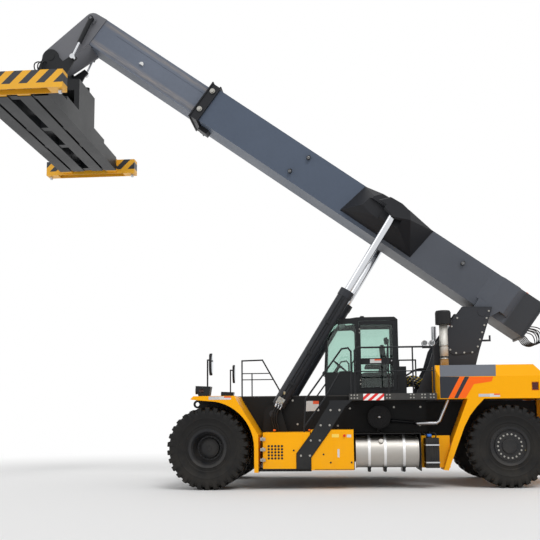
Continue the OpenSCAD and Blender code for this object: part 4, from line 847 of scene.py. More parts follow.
class STACKER_OT_stage(StackerStep, bpy.types.Operator):
    """Sets the floor, the soft studio light and the camera"""

    bl_idname = "stacker.stage"
    bl_label = "Stage"

    def execute(self, context):
        context.scene.view_settings.view_transform = "Standard"
        self.make_world(context.scene)
        MATERIALS["floor"] = self.floor_material()
        floor = Shape()
        edge = [(FLOOR_RADIUS * c, FLOOR_RADIUS * s, -FLOOR_DEPTH) for c, s in around(64)]
        floor.slab(edge, (0, 0, FLOOR_DEPTH), "floor")
        link("floor", floor.mesh("floor"))
        for label, strength, aim, spread in SUNS:
            light = bpy.data.lights.new(label, "SUN")
            light.energy, light.angle = strength, math.radians(spread)
            link(label, light).rotation_euler = Vector(aim).to_track_quat("-Z", "Y").to_euler()
        self.make_camera(context.scene)
        return {"FINISHED"}

    def make_world(self, scene):
        """White world that lights less than it shows."""
        world = scene.world = scene.world or bpy.data.worlds.new("studio")
        world.use_nodes = True
        tree = world.node_tree
        tree.nodes.clear()
        rays = tree.nodes.new("ShaderNodeLightPath").outputs
        seen = maths(tree, "MAXIMUM", rays["Is Camera Ray"], rays["Is Glossy Ray"])
        seen = maths(tree, "MAXIMUM", seen, rays["Is Transmission Ray"])
        strength = plus(tree, WORLD_LIGHT, times(tree, seen, 1.0 - WORLD_LIGHT))
        back = add(tree, "ShaderNodeBackground", Color=WHITE, Strength=strength)
        add(tree, "ShaderNodeOutputWorld", _0=back.outputs[0])

    def floor_material(self):
        """Pale floor that keeps the shadow and fades into the white background far off."""
        material, tree, inputs, where = start_material("floor_pale", Roughness=0.9)
        inputs["Base Color"].default_value = (0.86, 0.86, 0.86, 1.0)
        far = add(tree, "ShaderNodeVectorMath", {"operation": "LENGTH"}, _0=where).outputs["Value"]
        fade = maths(tree, "DIVIDE", minus(tree, far, FADE_START), FADE_RUN, clamp=True)
        glow = add(tree, "ShaderNodeEmission", Color=WHITE, Strength=1.0)
        out = next(node for node in tree.nodes if node.type == "OUTPUT_MATERIAL")
        matt = out.inputs[0].links[0].from_socket
        mixed = add(tree, "ShaderNodeMixShader", _0=fade, _1=matt, _2=glow.outputs[0])
        tree.links.new(mixed.outputs[0], out.inputs[0])
        return material

    def make_camera(self, scene):
        """The camera that stands where the photograph's stood."""
        view = bpy.data.cameras.new("camera")
        view.sensor_width, view.lens, view.shift_y = 36.0, CAMERA_LENS, CAMERA_SHIFT
        view.clip_start, view.clip_end = 0.1, 400.0
        yaw, pitch, roll = [math.radians(a) for a in CAMERA_TURN]
        ahead = Vector((math.sin(yaw) * math.cos(pitch), -math.cos(yaw) * math.cos(pitch), math.sin(pitch)))
        right = Vector((-math.cos(yaw), -math.sin(yaw), 0))
        up = right.cross(ahead)
        rolled_right = right * math.cos(roll) + up * math.sin(roll)
        rolled_up = up * math.cos(roll) - right * math.sin(roll)
        place = Matrix((rolled_right, rolled_up, -ahead)).transposed().to_4x4()
        place.translation = TRUCK @ Vector(CAMERA_PLACE)
        scene.camera = link("camera", view)
        scene.camera.matrix_world = place


class STACKER_OT_finishes(StackerStep, bpy.types.Operator):
    """Gives every CAD node its finish"""

    bl_idname = "stacker.finishes"
    bl_label = "Finishes"

    def execute(self, context):
        make_groups()
        make_materials()
        left = set(frame["nodes"])
        for finish, nodes in FINISHES.items():
            for name in nodes:
                mesh = frame["nodes"][name].data
                mesh.materials.clear()
                mesh.materials.append(MATERIALS[finish])
                left.discard(name)
        if left:
            raise ValueError(f"no finish for {sorted(left)}")
        return {"FINISHED"}


# Wheels: body, CAD tyre node, the axle's place, and the middles of the tyres on it
WHEELS = [
    ("front_wheels_left", "front_tyres_left", 0.0, (1.81, 1.265)),
    ("front_wheels_right", "front_tyres_right", 0.0, (-1.81, -1.265)),
    ("rear_wheel_left", "rear_tyre_left", REAR, (1.40,)),
    ("rear_wheel_right", "rear_tyre_right", REAR, (-1.40,)),
]
# Half a tyre's section from the middle of the tread to the bead: place across, radius
TYRE_SIDE = [
    (0.0, 0.775), (0.17, 0.772), (0.205, 0.76), (0.228, 0.735), (0.238, 0.70), (0.240, 0.66), (0.236, 0.62),
    (0.2335, 0.603), (0.2375, 0.596), (0.2315, 0.588), (0.226, 0.57), (0.214, 0.52), (0.205, 0.474),
    (0.2085, 0.467), (0.201, 0.459), (0.198, 0.43), (0.2025, 0.425), (0.199, 0.418), (0.200, 0.405),
    (0.206, 0.392), (0.206, 0.372),
]
# A lug from the tread's middle to the sidewall: place across, radius, half width, depth, way its top faces
TYRE_LUG = [
    (0.015, 0.8192, 0.049, 0.055, (0.0, 1.0)),
    (0.12, 0.8192, 0.048, 0.055, (0.0, 1.0)),
    (0.19, 0.8180, 0.046, 0.055, (0.2, 0.98)),
    (0.222, 0.8080, 0.044, 0.055, (0.6, 0.8)),
    (0.238, 0.7850, 0.041, 0.05, (0.9, 0.44)),
    (0.243, 0.7400, 0.038, 0.03, (1.0, 0.0)),
    (0.243, 0.6800, 0.034, 0.02, (1.0, 0.0)),
    (0.236, 0.6250, 0.026, 0.02, (1.0, -0.1)),
]


class STACKER_OT_tyres(StackerStep, bpy.types.Operator):
    """Turns the tyres and sets two rows of lugs on each"""

    bl_idname = "stacker.tyres"
    bl_label = "Tyres"

    # Share by which a lug widens towards its foot, and the bevel of its edges
    flare, bevel = 1.1, 0.006

    def lug(self, side):
        """One lug on one shoulder, at the top of a wheel."""
        shape, points, faces = Shape(Matrix.Identity(4)), [], []
        rise = sizes().lug_height - LUG_HEIGHT
        for t, r, half, depth, (out, up) in TYRE_LUG:
            foot, low_t, low_r = half * self.flare, t - out * depth, r - up * depth
            r += rise * up
            points += [(-half, side * t, r), (half, side * t, r)]
            points += [(foot, side * low_t, low_r), (-foot, side * low_t, low_r)]
        last = len(points) - 4
        for low in range(0, last, 4):
            faces += [[low + k, low + (k + 1) % 4, low + 4 + (k + 1) % 4, low + 4 + k] for k in range(4)]
        shape.add(points, faces + [[0, 1, 2, 3], [last, last + 1, last + 2, last + 3]], "rubber")
        return shape.mesh("lug", self.bevel)

    def execute(self, context):
        tree, count, rubber = ring_copies(), sizes().lugs, MATERIALS["rubber"]
        outline = [(r, -t) for t, r in TYRE_SIDE[:0:-1]] + [(r, t) for t, r in TYRE_SIDE]
        for body, node, x, places in WHEELS:
            shape = Shape()
            for y in places:
                shape.turned(outline, (x, y, AXLE_Z), LEFT, "rubber", 96)
                centre = tuple(TRUCK @ Vector((x, y, AXLE_Z)))
                for side in SIDES:
                    turned = {"Turn": math.pi / count if side < 0 else 0.0, "Centre": centre}
                    lugs = grown(self.lug(side), tree, Count=count, Material=rubber, **turned)
                    shape.take(lugs, "rubber")
            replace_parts(shape.finish(node + "_tread", body, "tyre"), node)
        return {"FINISHED"}


# Front and rear wheels: Y and radius of the nuts' circle and of the hub bolts' circle, Y of the lip that
# the valve stands on, and the finish of the nuts
HUBS = {
    # The front nuts take the lighter slate panel paint as a painted highlight on them
    "front": (1.72, 0.23, 1.806, 0.045, 1.73, "panel"),
    "rear": (1.592, 0.235, 1.624, 0.115, 1.585, "bolt"),
}
# Width and height of a wheel nut and of a hub bolt
NUT, HUB_BOLT = (0.026, 0.028), (0.022, 0.014)
# Tyre valve from the wheel's middle in X and Z, its length and its radius
VALVE_X, VALVE_Z, VALVE_LENGTH, VALVE_RADIUS = -0.29, -0.08, 0.06, 0.007


class STACKER_OT_wheel_nuts(StackerStep, bpy.types.Operator):
    """Sets the nuts, hub bolts and valves of the wheels"""

    bl_idname = "stacker.wheel_nuts"
    bl_label = "Wheel nuts"

    def execute(self, context):
        for body, _, x, places in WHEELS:
            side = 1 if places[0] > 0 else -1
            face, radius, hub_face, hub_radius, lip, finish = HUBS[body.split("_")[0]]
            nuts = ring_spots((x, side * face, AXLE_Z), radius, sizes().nuts, side)
            bolts(body + "_nuts", body, nuts, finish, *NUT)
            hub = ring_spots((x, side * hub_face, AXLE_Z), hub_radius, 8, side)
            bolts(body + "_hub_bolts", body, hub, "rim", *HUB_BOLT)
            foot, tip = ((x + VALVE_X, side * y, AXLE_Z + VALVE_Z) for y in (lip, lip + VALVE_LENGTH))
            valve = Shape()
            valve.rod(foot, tip, VALVE_RADIUS, "brass", 12)
            valve.finish(body + "_valve", body)
        return {"FINISHED"}


# Graphics on the hood's side, as outlines in X and Z: finish and corners
HOOD_GRAPHICS = [
    ("panel", [(-4.663, 2.21), (-5.058, 2.205), (-4.821, 1.777), (-4.663, 1.779)]),
    ("accent", [(-5.058, 2.205), (-5.159, 2.204), (-4.932, 1.776), (-4.821, 1.777)]),
    ("panel", [(-5.159, 2.204), (-5.25, 2.202), (-5.007, 1.775), (-4.932, 1.776)]),
    ("accent", [
        (-5.25, 2.202), (-5.723, 2.197), (-5.687, 2.105), (-5.335, 2.053), (-5.163, 1.774), (-5.007, 1.775),
    ]),
]
# The grey band on the hood's slanted shoulder, as X, Y and Z, and the way that face looks, as Y and Z
HOOD_BAND = [(-4.67, 1.65, 2.21), (-5.772, 1.65, 2.21), (-5.809, 1.48, 2.45), (-4.689, 1.48, 2.45)]
BAND_WAY = (0.82, 0.58)


class STACKER_OT_graphics(StackerStep, bpy.types.Operator):
    """Paints the slanted stripes and the bare band on the hood"""

    bl_idname = "stacker.graphics"
    bl_label = "Hood graphics"

    def execute(self, context):
        film = sizes().plate
        for side, word in NAMED_SIDES:
            shape = Shape()
            for finish, outline in HOOD_GRAPHICS:
                shape.slab([(x, side * BODY_Y, z) for x, z in outline], (0, side * film, 0), finish)
            band = [(x, side * y, z) for x, y, z in HOOD_BAND]
            shape.slab(band, (0, side * film * BAND_WAY[0], film * BAND_WAY[1]), "band")
            shape.finish("hood_graphics_" + word, "chassis")
        return {"FINISHED"}


# Blank plates on flat sides: name, body, X and Z of two corners, the face's Y, finish, and the part of its
# length that an orange head takes
PLATES = [
    ("chassis_plate", "chassis", (-1.913, 1.766), (-2.207, 1.552), FRAME_Y, "blank", 0.0),
    ("fender_strip", "chassis", (-0.03, 1.85), (-0.25, 1.785), 2.05, "band_pale", 0.0),
    ("fender_plate", "chassis", (-0.25, 1.85), (-0.48, 1.785), 2.05, "blank", 0.6),
    ("hood_strip", "chassis", (-5.42, 1.856), (-5.64, 1.80), BODY_Y, "band_pale", 0.0),
    ("hood_plate", "chassis", (-5.64, 1.86), (-5.84, 1.796), BODY_Y, "blank", 0.6),
    ("cabinet_plate", "chassis", (-2.775, 1.075), (-2.86, 1.02), WALK_Y, "blank", 0.0),
    ("cabinet_tag", "chassis", (-2.585, 0.79), (-2.625, 0.63), WALK_Y, "blank", 0.0),
    ("cabinet_note", "chassis", (-2.48, 1.085), (-2.62, 1.02), WALK_Y, "note", 0.0),
    ("tower_plate", "chassis", (-4.935, 3.36), (-5.12, 3.265), 0.65, "blank", 0.5),
    ("door_plate", "cab_door", (-3.31, 2.655), (-3.55, 2.565), 0.72, "blank", 0.6),
    ("chassis_tag", "chassis", (-4.36, 1.31), (-4.45, 1.275), FRAME_Y, "blank", 0.0),
]


# Share of a plate's height that its orange head takes, and the head's outer face in plate thicknesses
HEAD_HEIGHT, HEAD_FACE = 0.42, 1.5


class STACKER_OT_plates(StackerStep, bpy.types.Operator):
    """Sets the blank plates and the striped plates"""

    bl_idname = "stacker.plates"
    bl_label = "Blank plates"

    def execute(self, context):
        film = sizes().plate
        for name, body, (x0, z0), (x1, z1), y, finish, head in PLATES:
            shape = Shape()
            shape.block((x0, y, z0), (x1, y + film, z1), finish)
            if head:
                start, low = x0 + (x1 - x0) * (1 - head), z0 - (z0 - z1) * HEAD_HEIGHT
                shape.block((start, y + film, z0), (x1, y + film * HEAD_FACE, low), "blank_orange")
            shape.finish(name, body)
        # Orange head of the plate on the girder, which leaves the plate's front end bare
        shape = Shape()
        low, high = (-2.083, FRAME_Y + film, 1.766), (-2.207, FRAME_Y + film * HEAD_FACE, 1.70)
        shape.block(low, high, "blank_orange")
        shape.finish("chassis_plate_head", "chassis")
        for side, word in NAMED_SIDES:
            shape = Shape()
            shape.block((-3.115, side * WALK_Y, 1.745), (-3.525, side * (WALK_Y + film), 1.875), "hazard")
            shape.finish("striped_plate_" + word, "chassis")
        return {"FINISHED"}


# Rows of bolts on the tower, from the boom's pivot: rear edge, front edge, and the foot seam in two parts
TOWER_ROWS = [
    ((-0.14, 0.02), (0.12, -0.74), 6),
    ((0.53, -0.12), (0.90, -0.66), 4),
    ((0.24, -0.86), (0.58, -0.87), 3),
    ((0.70, -0.80), (0.90, -0.68), 2),
]
# Bolts of the walkways' edges in X, and of the chassis girders in X and Z
DECK_BOLTS = (-2.88, -2.94, -3.0, -3.58, -3.64, -4.05, -4.11, -4.27, -4.33, -4.44, -4.50)
GIRDER_BOLTS = (
    (-2.86, 1.60), (-3.78, 1.62), (-4.33, 1.62), (-4.31, 1.24), (-2.6, 1.24), (-1.75, 1.28), (-1.65, 1.78),
)
# Heights of the fenders' hinges
HINGES = (0.995, 0.79, 0.585)


class STACKER_OT_frame_bolts(StackerStep, bpy.types.Operator):
    """Sets the bolt heads of the tower, deck, stairs, fenders and boom"""

    bl_idname = "stacker.frame_bolts"
    bl_label = "Frame bolts"

    def spots(self, y, places):
        """The same spots on both sides, at a distance from the middle."""
        return [((x, side * y, z), (0, side, 0)) for side in SIDES for x, z in places]

    def execute(self, context):
        tower = []
        for a, b, count in TOWER_ROWS:
            tower += [Vector(PIVOT) + Vector(a).lerp(Vector(b), i / (count - 1)) for i in range(count)]
        bolts("tower_bolts", "chassis", self.spots(0.67, tower), width=0.028)
        deck = self.spots(WALK_Y, [(x, z) for x in DECK_BOLTS for z in (1.79, 1.85)])
        bolts("deck_bolts", "chassis", deck, width=0.022, height=0.014)
        treads = [(-1.863 - 0.2 * i, 0.667 + 0.297 * i) for i in range(4)]
        steps = self.spots(1.975, [(x - dx, z) for x, z in treads for dx in (0.0, 0.177)])
        bolts("stair_bolts", "chassis", steps, width=0.03, height=0.016)
        bolts("girder_bolts", "chassis", self.spots(FRAME_Y, GIRDER_BOLTS), width=0.03, height=0.014)
        collar = self.spots(0.51, [(7.835, b) for b in (0.30, 0.81)])
        bolts("collar_bolts", "boom_outer", collar, width=0.085, height=0.03, place=BOOM)
        cabin = [((-3.10, 0.76, z), LEFT) for z in (2.12, 2.2, 3.22, 3.3)]
        bolts("door_hinge_bolts", "cab_door", cabin, width=0.018, height=0.01)
        shape = Shape()
        for side in SIDES:
            y = side * 2.0
            for z in HINGES:
                shape.block((-1.055, side * (WALK_Y + 0.02), z - 0.03), (-1.16, y, z + 0.03), "bolt")
                shape.rod((-1.107, y, z - 0.045), (-1.107, y, z + 0.045), 0.011, "bolt", 12)
        shape.finish("fender_hinges", "chassis", bevel=0.003)
        fender = self.spots(2.0, [(x, z) for z in HINGES for x in (-1.075, -1.14)])
        bolts("fender_hinge_bolts", "chassis", fender, width=0.02, height=0.012)
        return {"FINISHED"}


def hoses(name, body, routes, radius, finish="hose", place=TRUCK, bend=None):
    """Hoses, each a piece of its own that rides on a body, except those given a second body, which are left
    unattached.
    """
    for i, points in enumerate(routes):
        path = [place @ p for p in smooth_path(points)]
        shape = Shape(Matrix.Identity(4))
        shape.tube(path, radius, finish, 10, record_uv=True)
        piece = shape.finish(f"{name}_{i + 1}", body, bend=bend and (bend, path[-1], path[0]))
        points = [tuple(p) for p in path]


# Hoses at the boom's tail, in BOOM: X, Z, and share of the hose's own drop
TAIL_ROUTE = [
    (-0.80, 0.10, 0), (-0.92, 0.26, 0), (-1.08, 0.41, 1), (-1.25, 0.46, 1), (-1.38, 0.38, 1),
    (-1.41, 0.25, 0.3), (-1.34, 0.14, 0), (-1.21, 0.10, 0), (-1.06, 0.14, 0), (-0.92, 0.09, 0),
]
# Low loops behind the cab: X, Z
LOOP_ROUTE = [(-4.02, 1.862), (-4.06, 2.03), (-4.15, 2.13), (-4.28, 2.12), (-4.36, 2.02), (-4.40, 1.862)]
# Upper hoses behind the cab: X, offset in Y, Z
UPPER_ROUTE = [
    (-3.86, 0.08, 2.33), (-3.98, 0.08, 2.30), (-4.10, 0.08, 2.31), (-4.25, 0.08, 2.40),
    (-4.40, 0.06, 2.44), (-4.60, 0.06, 2.42), (-4.775, 0.06, 2.40),
]
# Wrapped hoses behind the cab: X, offset in Y, Z, share of the hose's own drop and of its own step back
WRAPPED_ROUTE = [
    (-3.89, 0, 1.862, 0, 1), (-3.90, 0, 2.02, 0.5, 1), (-3.99, -0.01, 2.18, 1, 0), (-4.12, -0.02, 2.26, 1, 0),
    (-4.26, -0.02, 2.27, 1, 0), (-4.42, 0, 2.21, 1, 0), (-4.60, 0, 2.15, 1, 0), (-4.775, 0, 2.14, 1, 0),
]
# Unions on the lift cylinder's side: place along it, place across it, radius
UNIONS = (
    (0.26, -0.045, 0.02), (0.31, 0.05, 0.024), (0.36, -0.03, 0.022), (0.34, 0.02, 0.016), (0.27, 0.01, 0.018),
)


class STACKER_OT_hoses(StackerStep, bpy.types.Operator):
    """Leads the hoses at the boom's tail, behind the cab, at the cylinders and at the boom's head"""

    bl_idname = "stacker.hoses"
    bl_label = "Hoses"

    def execute(self, context):
        r = sizes().hose
        tail = []
        for i in range(6):
            y, drop = 0.34 - 0.135 * i, 0.03 * (i % 3)
            tail.append([(x, y, z - drop * part) for x, z, part in TAIL_ROUTE])
        hoses("tail_hose", "boom_outer", tail, r * 0.6, place=BOOM)
        wrapped = []
        for i in range(5):
            y, drop, back = 0.56 - 0.12 * i, 0.045 * i, 0.02 * i
            wrapped.append([(x - back * k, y + dy, z - drop * part) for x, dy, z, part, k in WRAPPED_ROUTE])
        hoses("wrapped_hose", "chassis", wrapped, r * 1.25, "wrapped")
        loops = []
        for i in range(3):
            y = 0.42 - 0.2 * i
            loops.append([(x, y, z) for x, z in LOOP_ROUTE])
            loops.append([(x, y + dy, z) for x, dy, z in UPPER_ROUTE])
        hoses("rear_hose", "chassis", loops, r)
        for side, word in NAMED_SIDES:
            self.cylinder(side, word, r * 0.9)
        for side, word in NAMED_SIDES:
            self.barrel_lines(side, word)
        yoke = []
        for side in SIDES:
            for i in range(3):
                x, reach = 0.10 + 0.07 * i, 0.03 * i
                route = [(0, 0, -0.13), (0.04, 0.07, -0.15), (0.08, 0.10 + reach, -0.24)]
                route += [(0.08, 0.09 + reach, -0.35), (0.04, 0.03, -0.42), (0, -0.04, -0.441)]
                yoke.append([(x + dx, side * (YOKE_Y + dy), z) for dx, dy, z in route])
        hoses("yoke_hose", "tilt_yoke", yoke, r * 0.75, place=HANG)
        return {"FINISHED"}

    def cylinder(self, side, word, radius):
        """Hoses and fittings at the foot of one lift cylinder."""
        tops, low = [(-1.34 - 0.045 * i, 1.732 - 0.028 * i) for i in range(3)], []
        for i, (x, z) in enumerate(tops):
            route = [(0, 1.26, z), (0.04, 1.29 + 0.01 * i, 1.62), (0.09, 1.31, 1.49)]
            route += [(0.10, 1.30, 1.35), (0.07, 1.28, 1.23), (0.06, 1.26, 1.122)]
            low.append([(x + dx, side * y, z) for dx, y, z in route])
        hoses("cylinder_hose_" + word, "chassis", low, radius, bend="lift_barrels")
        shape, y = Shape(), side * 1.26
        for i, (x, z) in enumerate(tops):
            shape.rod((x, y, z - 0.04), (x, y, z + 0.02), 0.026, "steel", 6)
            end = (x + 0.032, side * (1.284 + 0.008 * i), z - 0.095)
            shape.rod((x, y, z - 0.01), end, 0.0235, "steel", 16)
        shape.rod((-1.50, side * 1.20, 1.90), (-1.50, side * 1.20, 1.96), 0.03, "brass", 6)
        for a, b, wide in UNIONS:
            at = TRUCK.inverted() @ LIFT @ Vector((a, side * 1.255, b))
            nut, nipple = at + Vector((0, side * 0.045, 0)), at + Vector((0, side * 0.07, 0))
            shape.rod(at, nut, wide, "steel", 6)
            shape.rod(nut, nipple, wide * 0.6, "brass", 12)
        shape.finish("cylinder_fittings_" + word, "lift_barrels", bevel=0.003)

    def barrel_lines(self, side, word):
        """Steel lines clamped along one barrel."""
        shape = Shape(LIFT)
        for dz in (0.03, -0.03):
            line = [(0.38, 1.205), (0.7, 1.215), (1.6, 1.215), (2.75, 1.215), (2.9, 1.19)]
            shape.tube(smooth_path([(a, side * y, dz) for a, y in line], 4), 0.014, "frame", 10)
        for a in (0.75, 1.5, 2.25):
            shape.block((a - 0.03, side * 1.185, -0.06), (a + 0.03, side * 1.235, 0.06), "frame")
        shape.finish("barrel_lines_" + word, "lift_barrels", bevel=0.003)


# Middle of the air filter, and ends of the urea tank in X
FILTER = (-3.46, 0, 1.415)
UREA = (-4.58, -4.32)
# Pipes at the filter's side: radius and points
FILTER_PIPES = [
    (0.03, [(-3.46, 1.0, 1.19), (-3.47, 1.06, 1.12), (-3.475, 1.2, 1.085), (-3.48, 1.45, 1.08)]),
    (0.035, [(-3.70, 1.0, 1.34), (-3.85, 1.0, 1.33), (-4.05, 0.98, 1.31), (-4.2, 0.93, 1.30)]),
]
UREA_HOSES = [
    [(-4.52, 1.82, 0.99), (-4.53, 1.83, 1.05), (-4.50, 1.80, 1.09), (-4.45, 1.68, 1.10), (-4.42, 1.52, 1.10)],
    [(-4.35, 1.84, 0.99), (-4.33, 1.85, 1.04), (-4.30, 1.80, 1.08), (-4.29, 1.66, 1.09), (-4.29, 1.5, 1.10)],
]


class STACKER_OT_plant(StackerStep, bpy.types.Operator):
    """Finishes the stack, the filters, the tanks and the cabinets"""

    bl_idname = "stacker.plant"
    bl_label = "Tanks, filters and cabinets"

    def execute(self, context):
        self.stack_and_filter()
        self.tanks()
        self.cabinets()
        return {"FINISHED"}

    def stack_and_filter(self):
        """Sleeve and clamps of the stack, and the filter's caps and pipes."""
        shape, stack = Shape(), (-4.862, 0.9, 0)
        shape.turned(ring(0.083, 0.089, 2.452, 3.345), stack, UP, "stack", 40)
        for z in (2.62, 2.90):
            shape.turned(ring(0.086, 0.094, z - 0.02, z + 0.02), stack, UP, "bolt", 40)
        shape.finish("stack_sleeve", "chassis")
        shape = Shape()
        for side in SIDES:
            low, high = side * (1.115 - 0.002), side * (1.115 + 0.005)
            for r in (0.236, 0.205, 0.15, 0.10):
                rib = [(r - 0.004, low), (r - 0.002, high), (r + 0.002, high), (r + 0.004, low)]
                shape.turned(rib, FILTER, LEFT, "plastic", 48)
            knob = dome(0.022, 0.034, side * 1.17, side * 1.17, side * 1.155, side * 1.115)
            shape.turned(knob, FILTER, LEFT, "steel", 24)
            for radius, pipe in FILTER_PIPES:
                shape.tube(smooth_path([(x, side * y, z) for x, y, z in pipe], 6), radius, "frame", 12)
        shape.finish("filter_trim", "chassis")

    def tanks(self):
        """Ribs, cap, straps and hoses of the urea tank, and the feet of the fuel tank's straps."""
        shape, (rear, front) = Shape(), UREA
        for i in range(5):
            x = rear + 0.035 + 0.0475 * i
            shape.block((x - 0.011, 1.90, 0.46), (x + 0.011, 1.912, 0.93), "plastic")
        shape.turned(dome(0.04, 0.05, 1.075, 1.075, 1.065, 1.02), (-4.40, 1.80, 0), UP, "blue", 28)
        for z in (0.52, 0.86):
            shape.block((rear - 0.004, 1.5, z - 0.015), (front + 0.004, 1.918, z + 0.015), "steel")
        for route in UREA_HOSES:
            shape.tube(smooth_path(route), 0.012, "hose", 10, record_uv=True)
        shape.finish("urea_trim", "chassis", bevel=0.002)
        shape = Shape()
        for x in (-3.215, -3.528, -3.898):
            for y in (1.68, 1.64):
                shape.block((x - 0.03, y, 0.34), (x + 0.03, y + 0.04, 0.425), "frame")
            shape.block((x - 0.035, 1.52, 0.405), (x + 0.035, 1.76, 0.43), "frame")
            shape.block((x - 0.018, 1.55, 0.335), (x + 0.018, 1.78, 0.36), "frame")
        shape.finish("strap_feet", "chassis", bevel=0.004)

    def cabinets(self):
        """Knob, locks, caps and lower edges of the cabinets, and the dark mesh behind the honeycomb."""
        shape = Shape()
        shape.turned(dome(0.018, 0.024, 0.045, 0.045, 0.036), (-2.727, WALK_Y, 1.055), LEFT, "red", 24)
        for x, z in ((-2.31, 0.69), (-2.86, 0.53), (-1.72, 0.77), (-2.45, 0.53)):
            shape.turned(dome(0.014, 0.018, 0.012, 0.012, 0.008), (x, WALK_Y, z), LEFT, "plastic", 20)
        for x in (-1.332, -2.035):
            shape.turned(dome(0.02, 0.026, 1.185, 1.185, 1.175, 1.15), (x, 1.86, 0), UP, "accent", 20)
        for x0, x1 in ((-1.13, -1.60), (-2.13, -2.91)):
            shape.block((x0, WALK_Y - 0.01, 0.392), (x1, WALK_Y + 0.004, 0.40), "frame")
        shape.finish("cabinet_fittings", "chassis")
        shape, radius, y = Shape(), 0.024, WALK_Y - 0.006
        for i in range(5):
            for j in range(5):
                x, z = -1.222 - 0.066 * i, 0.615 + 0.060 * j
                cell = [(x + radius * c, y, z + radius * s) for c, s in around(6)]
                shape.slab(cell, (0, 0.008, 0), "plastic")
        shape.finish("grille_mesh", "chassis")


class STACKER_OT_cab_trim(StackerStep, bpy.types.Operator):
    """Adds the cab's seals, handles, wiper, markers and the covers of its roof"""

    bl_idname = "stacker.cab_trim"
    bl_label = "Cab trim"

    def rim(self, shape, front, rear, low, high, y=0.718, width=0.02, proud=0.01):
        """A seal round a pane between two places in X and two heights."""
        for z0, z1 in ((low - width, low), (high, high + width)):
            shape.block((rear - width, y, z0), (front + width, y + proud, z1), "plastic")
        for x0, x1 in ((rear - width, rear), (front, front + width)):
            shape.block((x0, y, low), (x1, y + proud, high), "plastic")

    def execute(self, context):
        shape = Shape()
        self.rim(shape, -3.121, -3.799, 2.67, 3.39)
        self.rim(shape, -3.111, -3.767, 2.045, 2.541)
        shape.block((-3.80, 0.72, 2.585), (-3.73, 0.75, 2.635), "plastic")
        shape.rod((-3.77, 0.75, 2.61), (-3.77, 0.765, 2.61), 0.014, "steel", 16)
        shape.finish("door_trim", "cab_door", bevel=0.003)
        shape = Shape()
        shape.block((-2.53, 0.70, 3.43), (-2.58, 0.735, 3.485), "amber")
        shape.finish("cab_marker", "chassis", bevel=0.004)
        shape = Shape()
        for z in (2.02, 2.30):
            shape.block((-3.90, 0.45, z), (-3.885, 0.70, z + 0.14), "plastic")
        rail = [(0.72, 2.35), (0.775, 2.35), (0.775, 2.42), (0.775, 2.95), (0.775, 3.02), (0.72, 3.02)]
        shape.tube(smooth_path([(-3.02, y, z) for y, z in rail], 4), 0.013, "rails", 12)
        for x in (-2.75, -3.45):
            shape.block((x - 0.17, -0.35, 3.555), (x + 0.17, 0.35, 3.585), "plastic")
        shape.finish("cab_fittings", "chassis", bevel=0.004)
        return {"FINISHED"}


# A cushion is a ball squared by this power. Its crown and its sewn channels are shares of its half height.
# Points closer than the weld become one.
SQUARING, CROWN, CHANNEL, CHANNEL_POWER, WELD = 0.38, 0.10, 0.10, 0.4, 0.0004


def rounded(value):
    """A cosine or sine pushed outwards."""
    return math.copysign(abs(value) ** SQUARING, value)


def pillow(name, centre, half, lean, channels=0, rows=28):
    """A crowned cushion with rounded edges and sewn channels across it, leaning back about Y."""
    turn, wide = Matrix.Translation(centre) @ Matrix.Rotation(lean, 4, "Y"), rows * 2
    points, faces = [], []
    for i in range(rows + 1):
        up = math.pi * (i / rows - 0.5)
        for j in range(wide):
            across = math.pi * j / rows
            x, y = (rounded(math.cos(up)) * rounded(f(across)) for f in (math.cos, math.sin))
            z = rounded(math.sin(up)) * (1.0 + CROWN * (1 - x * x) * (1 - y * y))
            if channels:
                wave = abs(math.sin(math.pi * channels * (x + 1) / 2))
                z *= 1 - CHANNEL + CHANNEL * wave**CHANNEL_POWER
            points.append(turn @ Vector((x * half[0], y * half[1], z * half[2])))
    for low in range(0, rows * wide, wide):
        for j in range(wide):
            after = (j + 1) % wide
            faces.append([low + j, low + after, low + wide + after, low + wide + j])
    shape = Shape()
    shape.add(points, faces, "fabric", True)
    piece = shape.finish(name, "chassis", "seat_cloth")
    # The rings at the two ends are points in one place
    work = bmesh.new()
    work.from_mesh(piece.data)
    bmesh.ops.remove_doubles(work, verts=work.verts, dist=WELD)
    bmesh.ops.recalc_face_normals(work, faces=work.faces)
    work.to_mesh(piece.data)
    work.free()


class STACKER_OT_seat(StackerStep, bpy.types.Operator):
    """Pads the driver's seat"""

    bl_idname = "stacker.seat"
    bl_label = "Seat"

    def execute(self, context):
        shape = Shape()
        shape.block((-3.62, -0.18, 1.93), (-3.22, 0.18, 2.25), "plastic")
        shape.block((-3.68, -0.22, 2.25), (-3.18, 0.22, 2.29), "plastic")
        post = [(-3.70, 2.30), (-3.66, 2.30), (-3.735, 3.14), (-3.765, 3.14)]
        shape.slab([(x, -0.08, z) for x, z in post], (0, 0.16, 0), "plastic")
        for side in SIDES:
            shape.block((-3.64, side * 0.27, 2.33), (-3.56, side * 0.31, 2.50), "plastic")
            shape.block((-3.64, side * 0.255, 2.49), (-3.22, side * 0.33, 2.56), "plastic")
        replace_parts(shape.finish("seat_frame", "chassis", bevel=0.012, segments=2), "seat")
        lean = math.radians(97)
        pillow("seat_cushion", (-3.425, 0, 2.34), (0.265, 0.25, 0.058), 0.0, 4)
        pillow("seat_back", (-3.635, 0, 2.70), (0.31, 0.24, 0.055), lean, 5)
        pillow("seat_headrest", (-3.70, 0, 3.10), (0.075, 0.13, 0.04), lean)
        return {"FINISHED"}


# Lamps on the outer boom, along and across BOOM
BOOM_LAMPS = ((5.09, 0.75), (5.26, 0.26), (0.92, 0.69))
# Middle of a mirror in Y and Z, and its two slabs: X, depth, half width, half height, finish
MIRROR_Y, MIRROR_Z = 1.84, 2.5075
MIRROR_SLABS = (
    (-0.018, -0.05, 0.125, 0.225, "plastic"),
    (-0.068, -0.004, 0.11, 0.21, "mirror"),
)


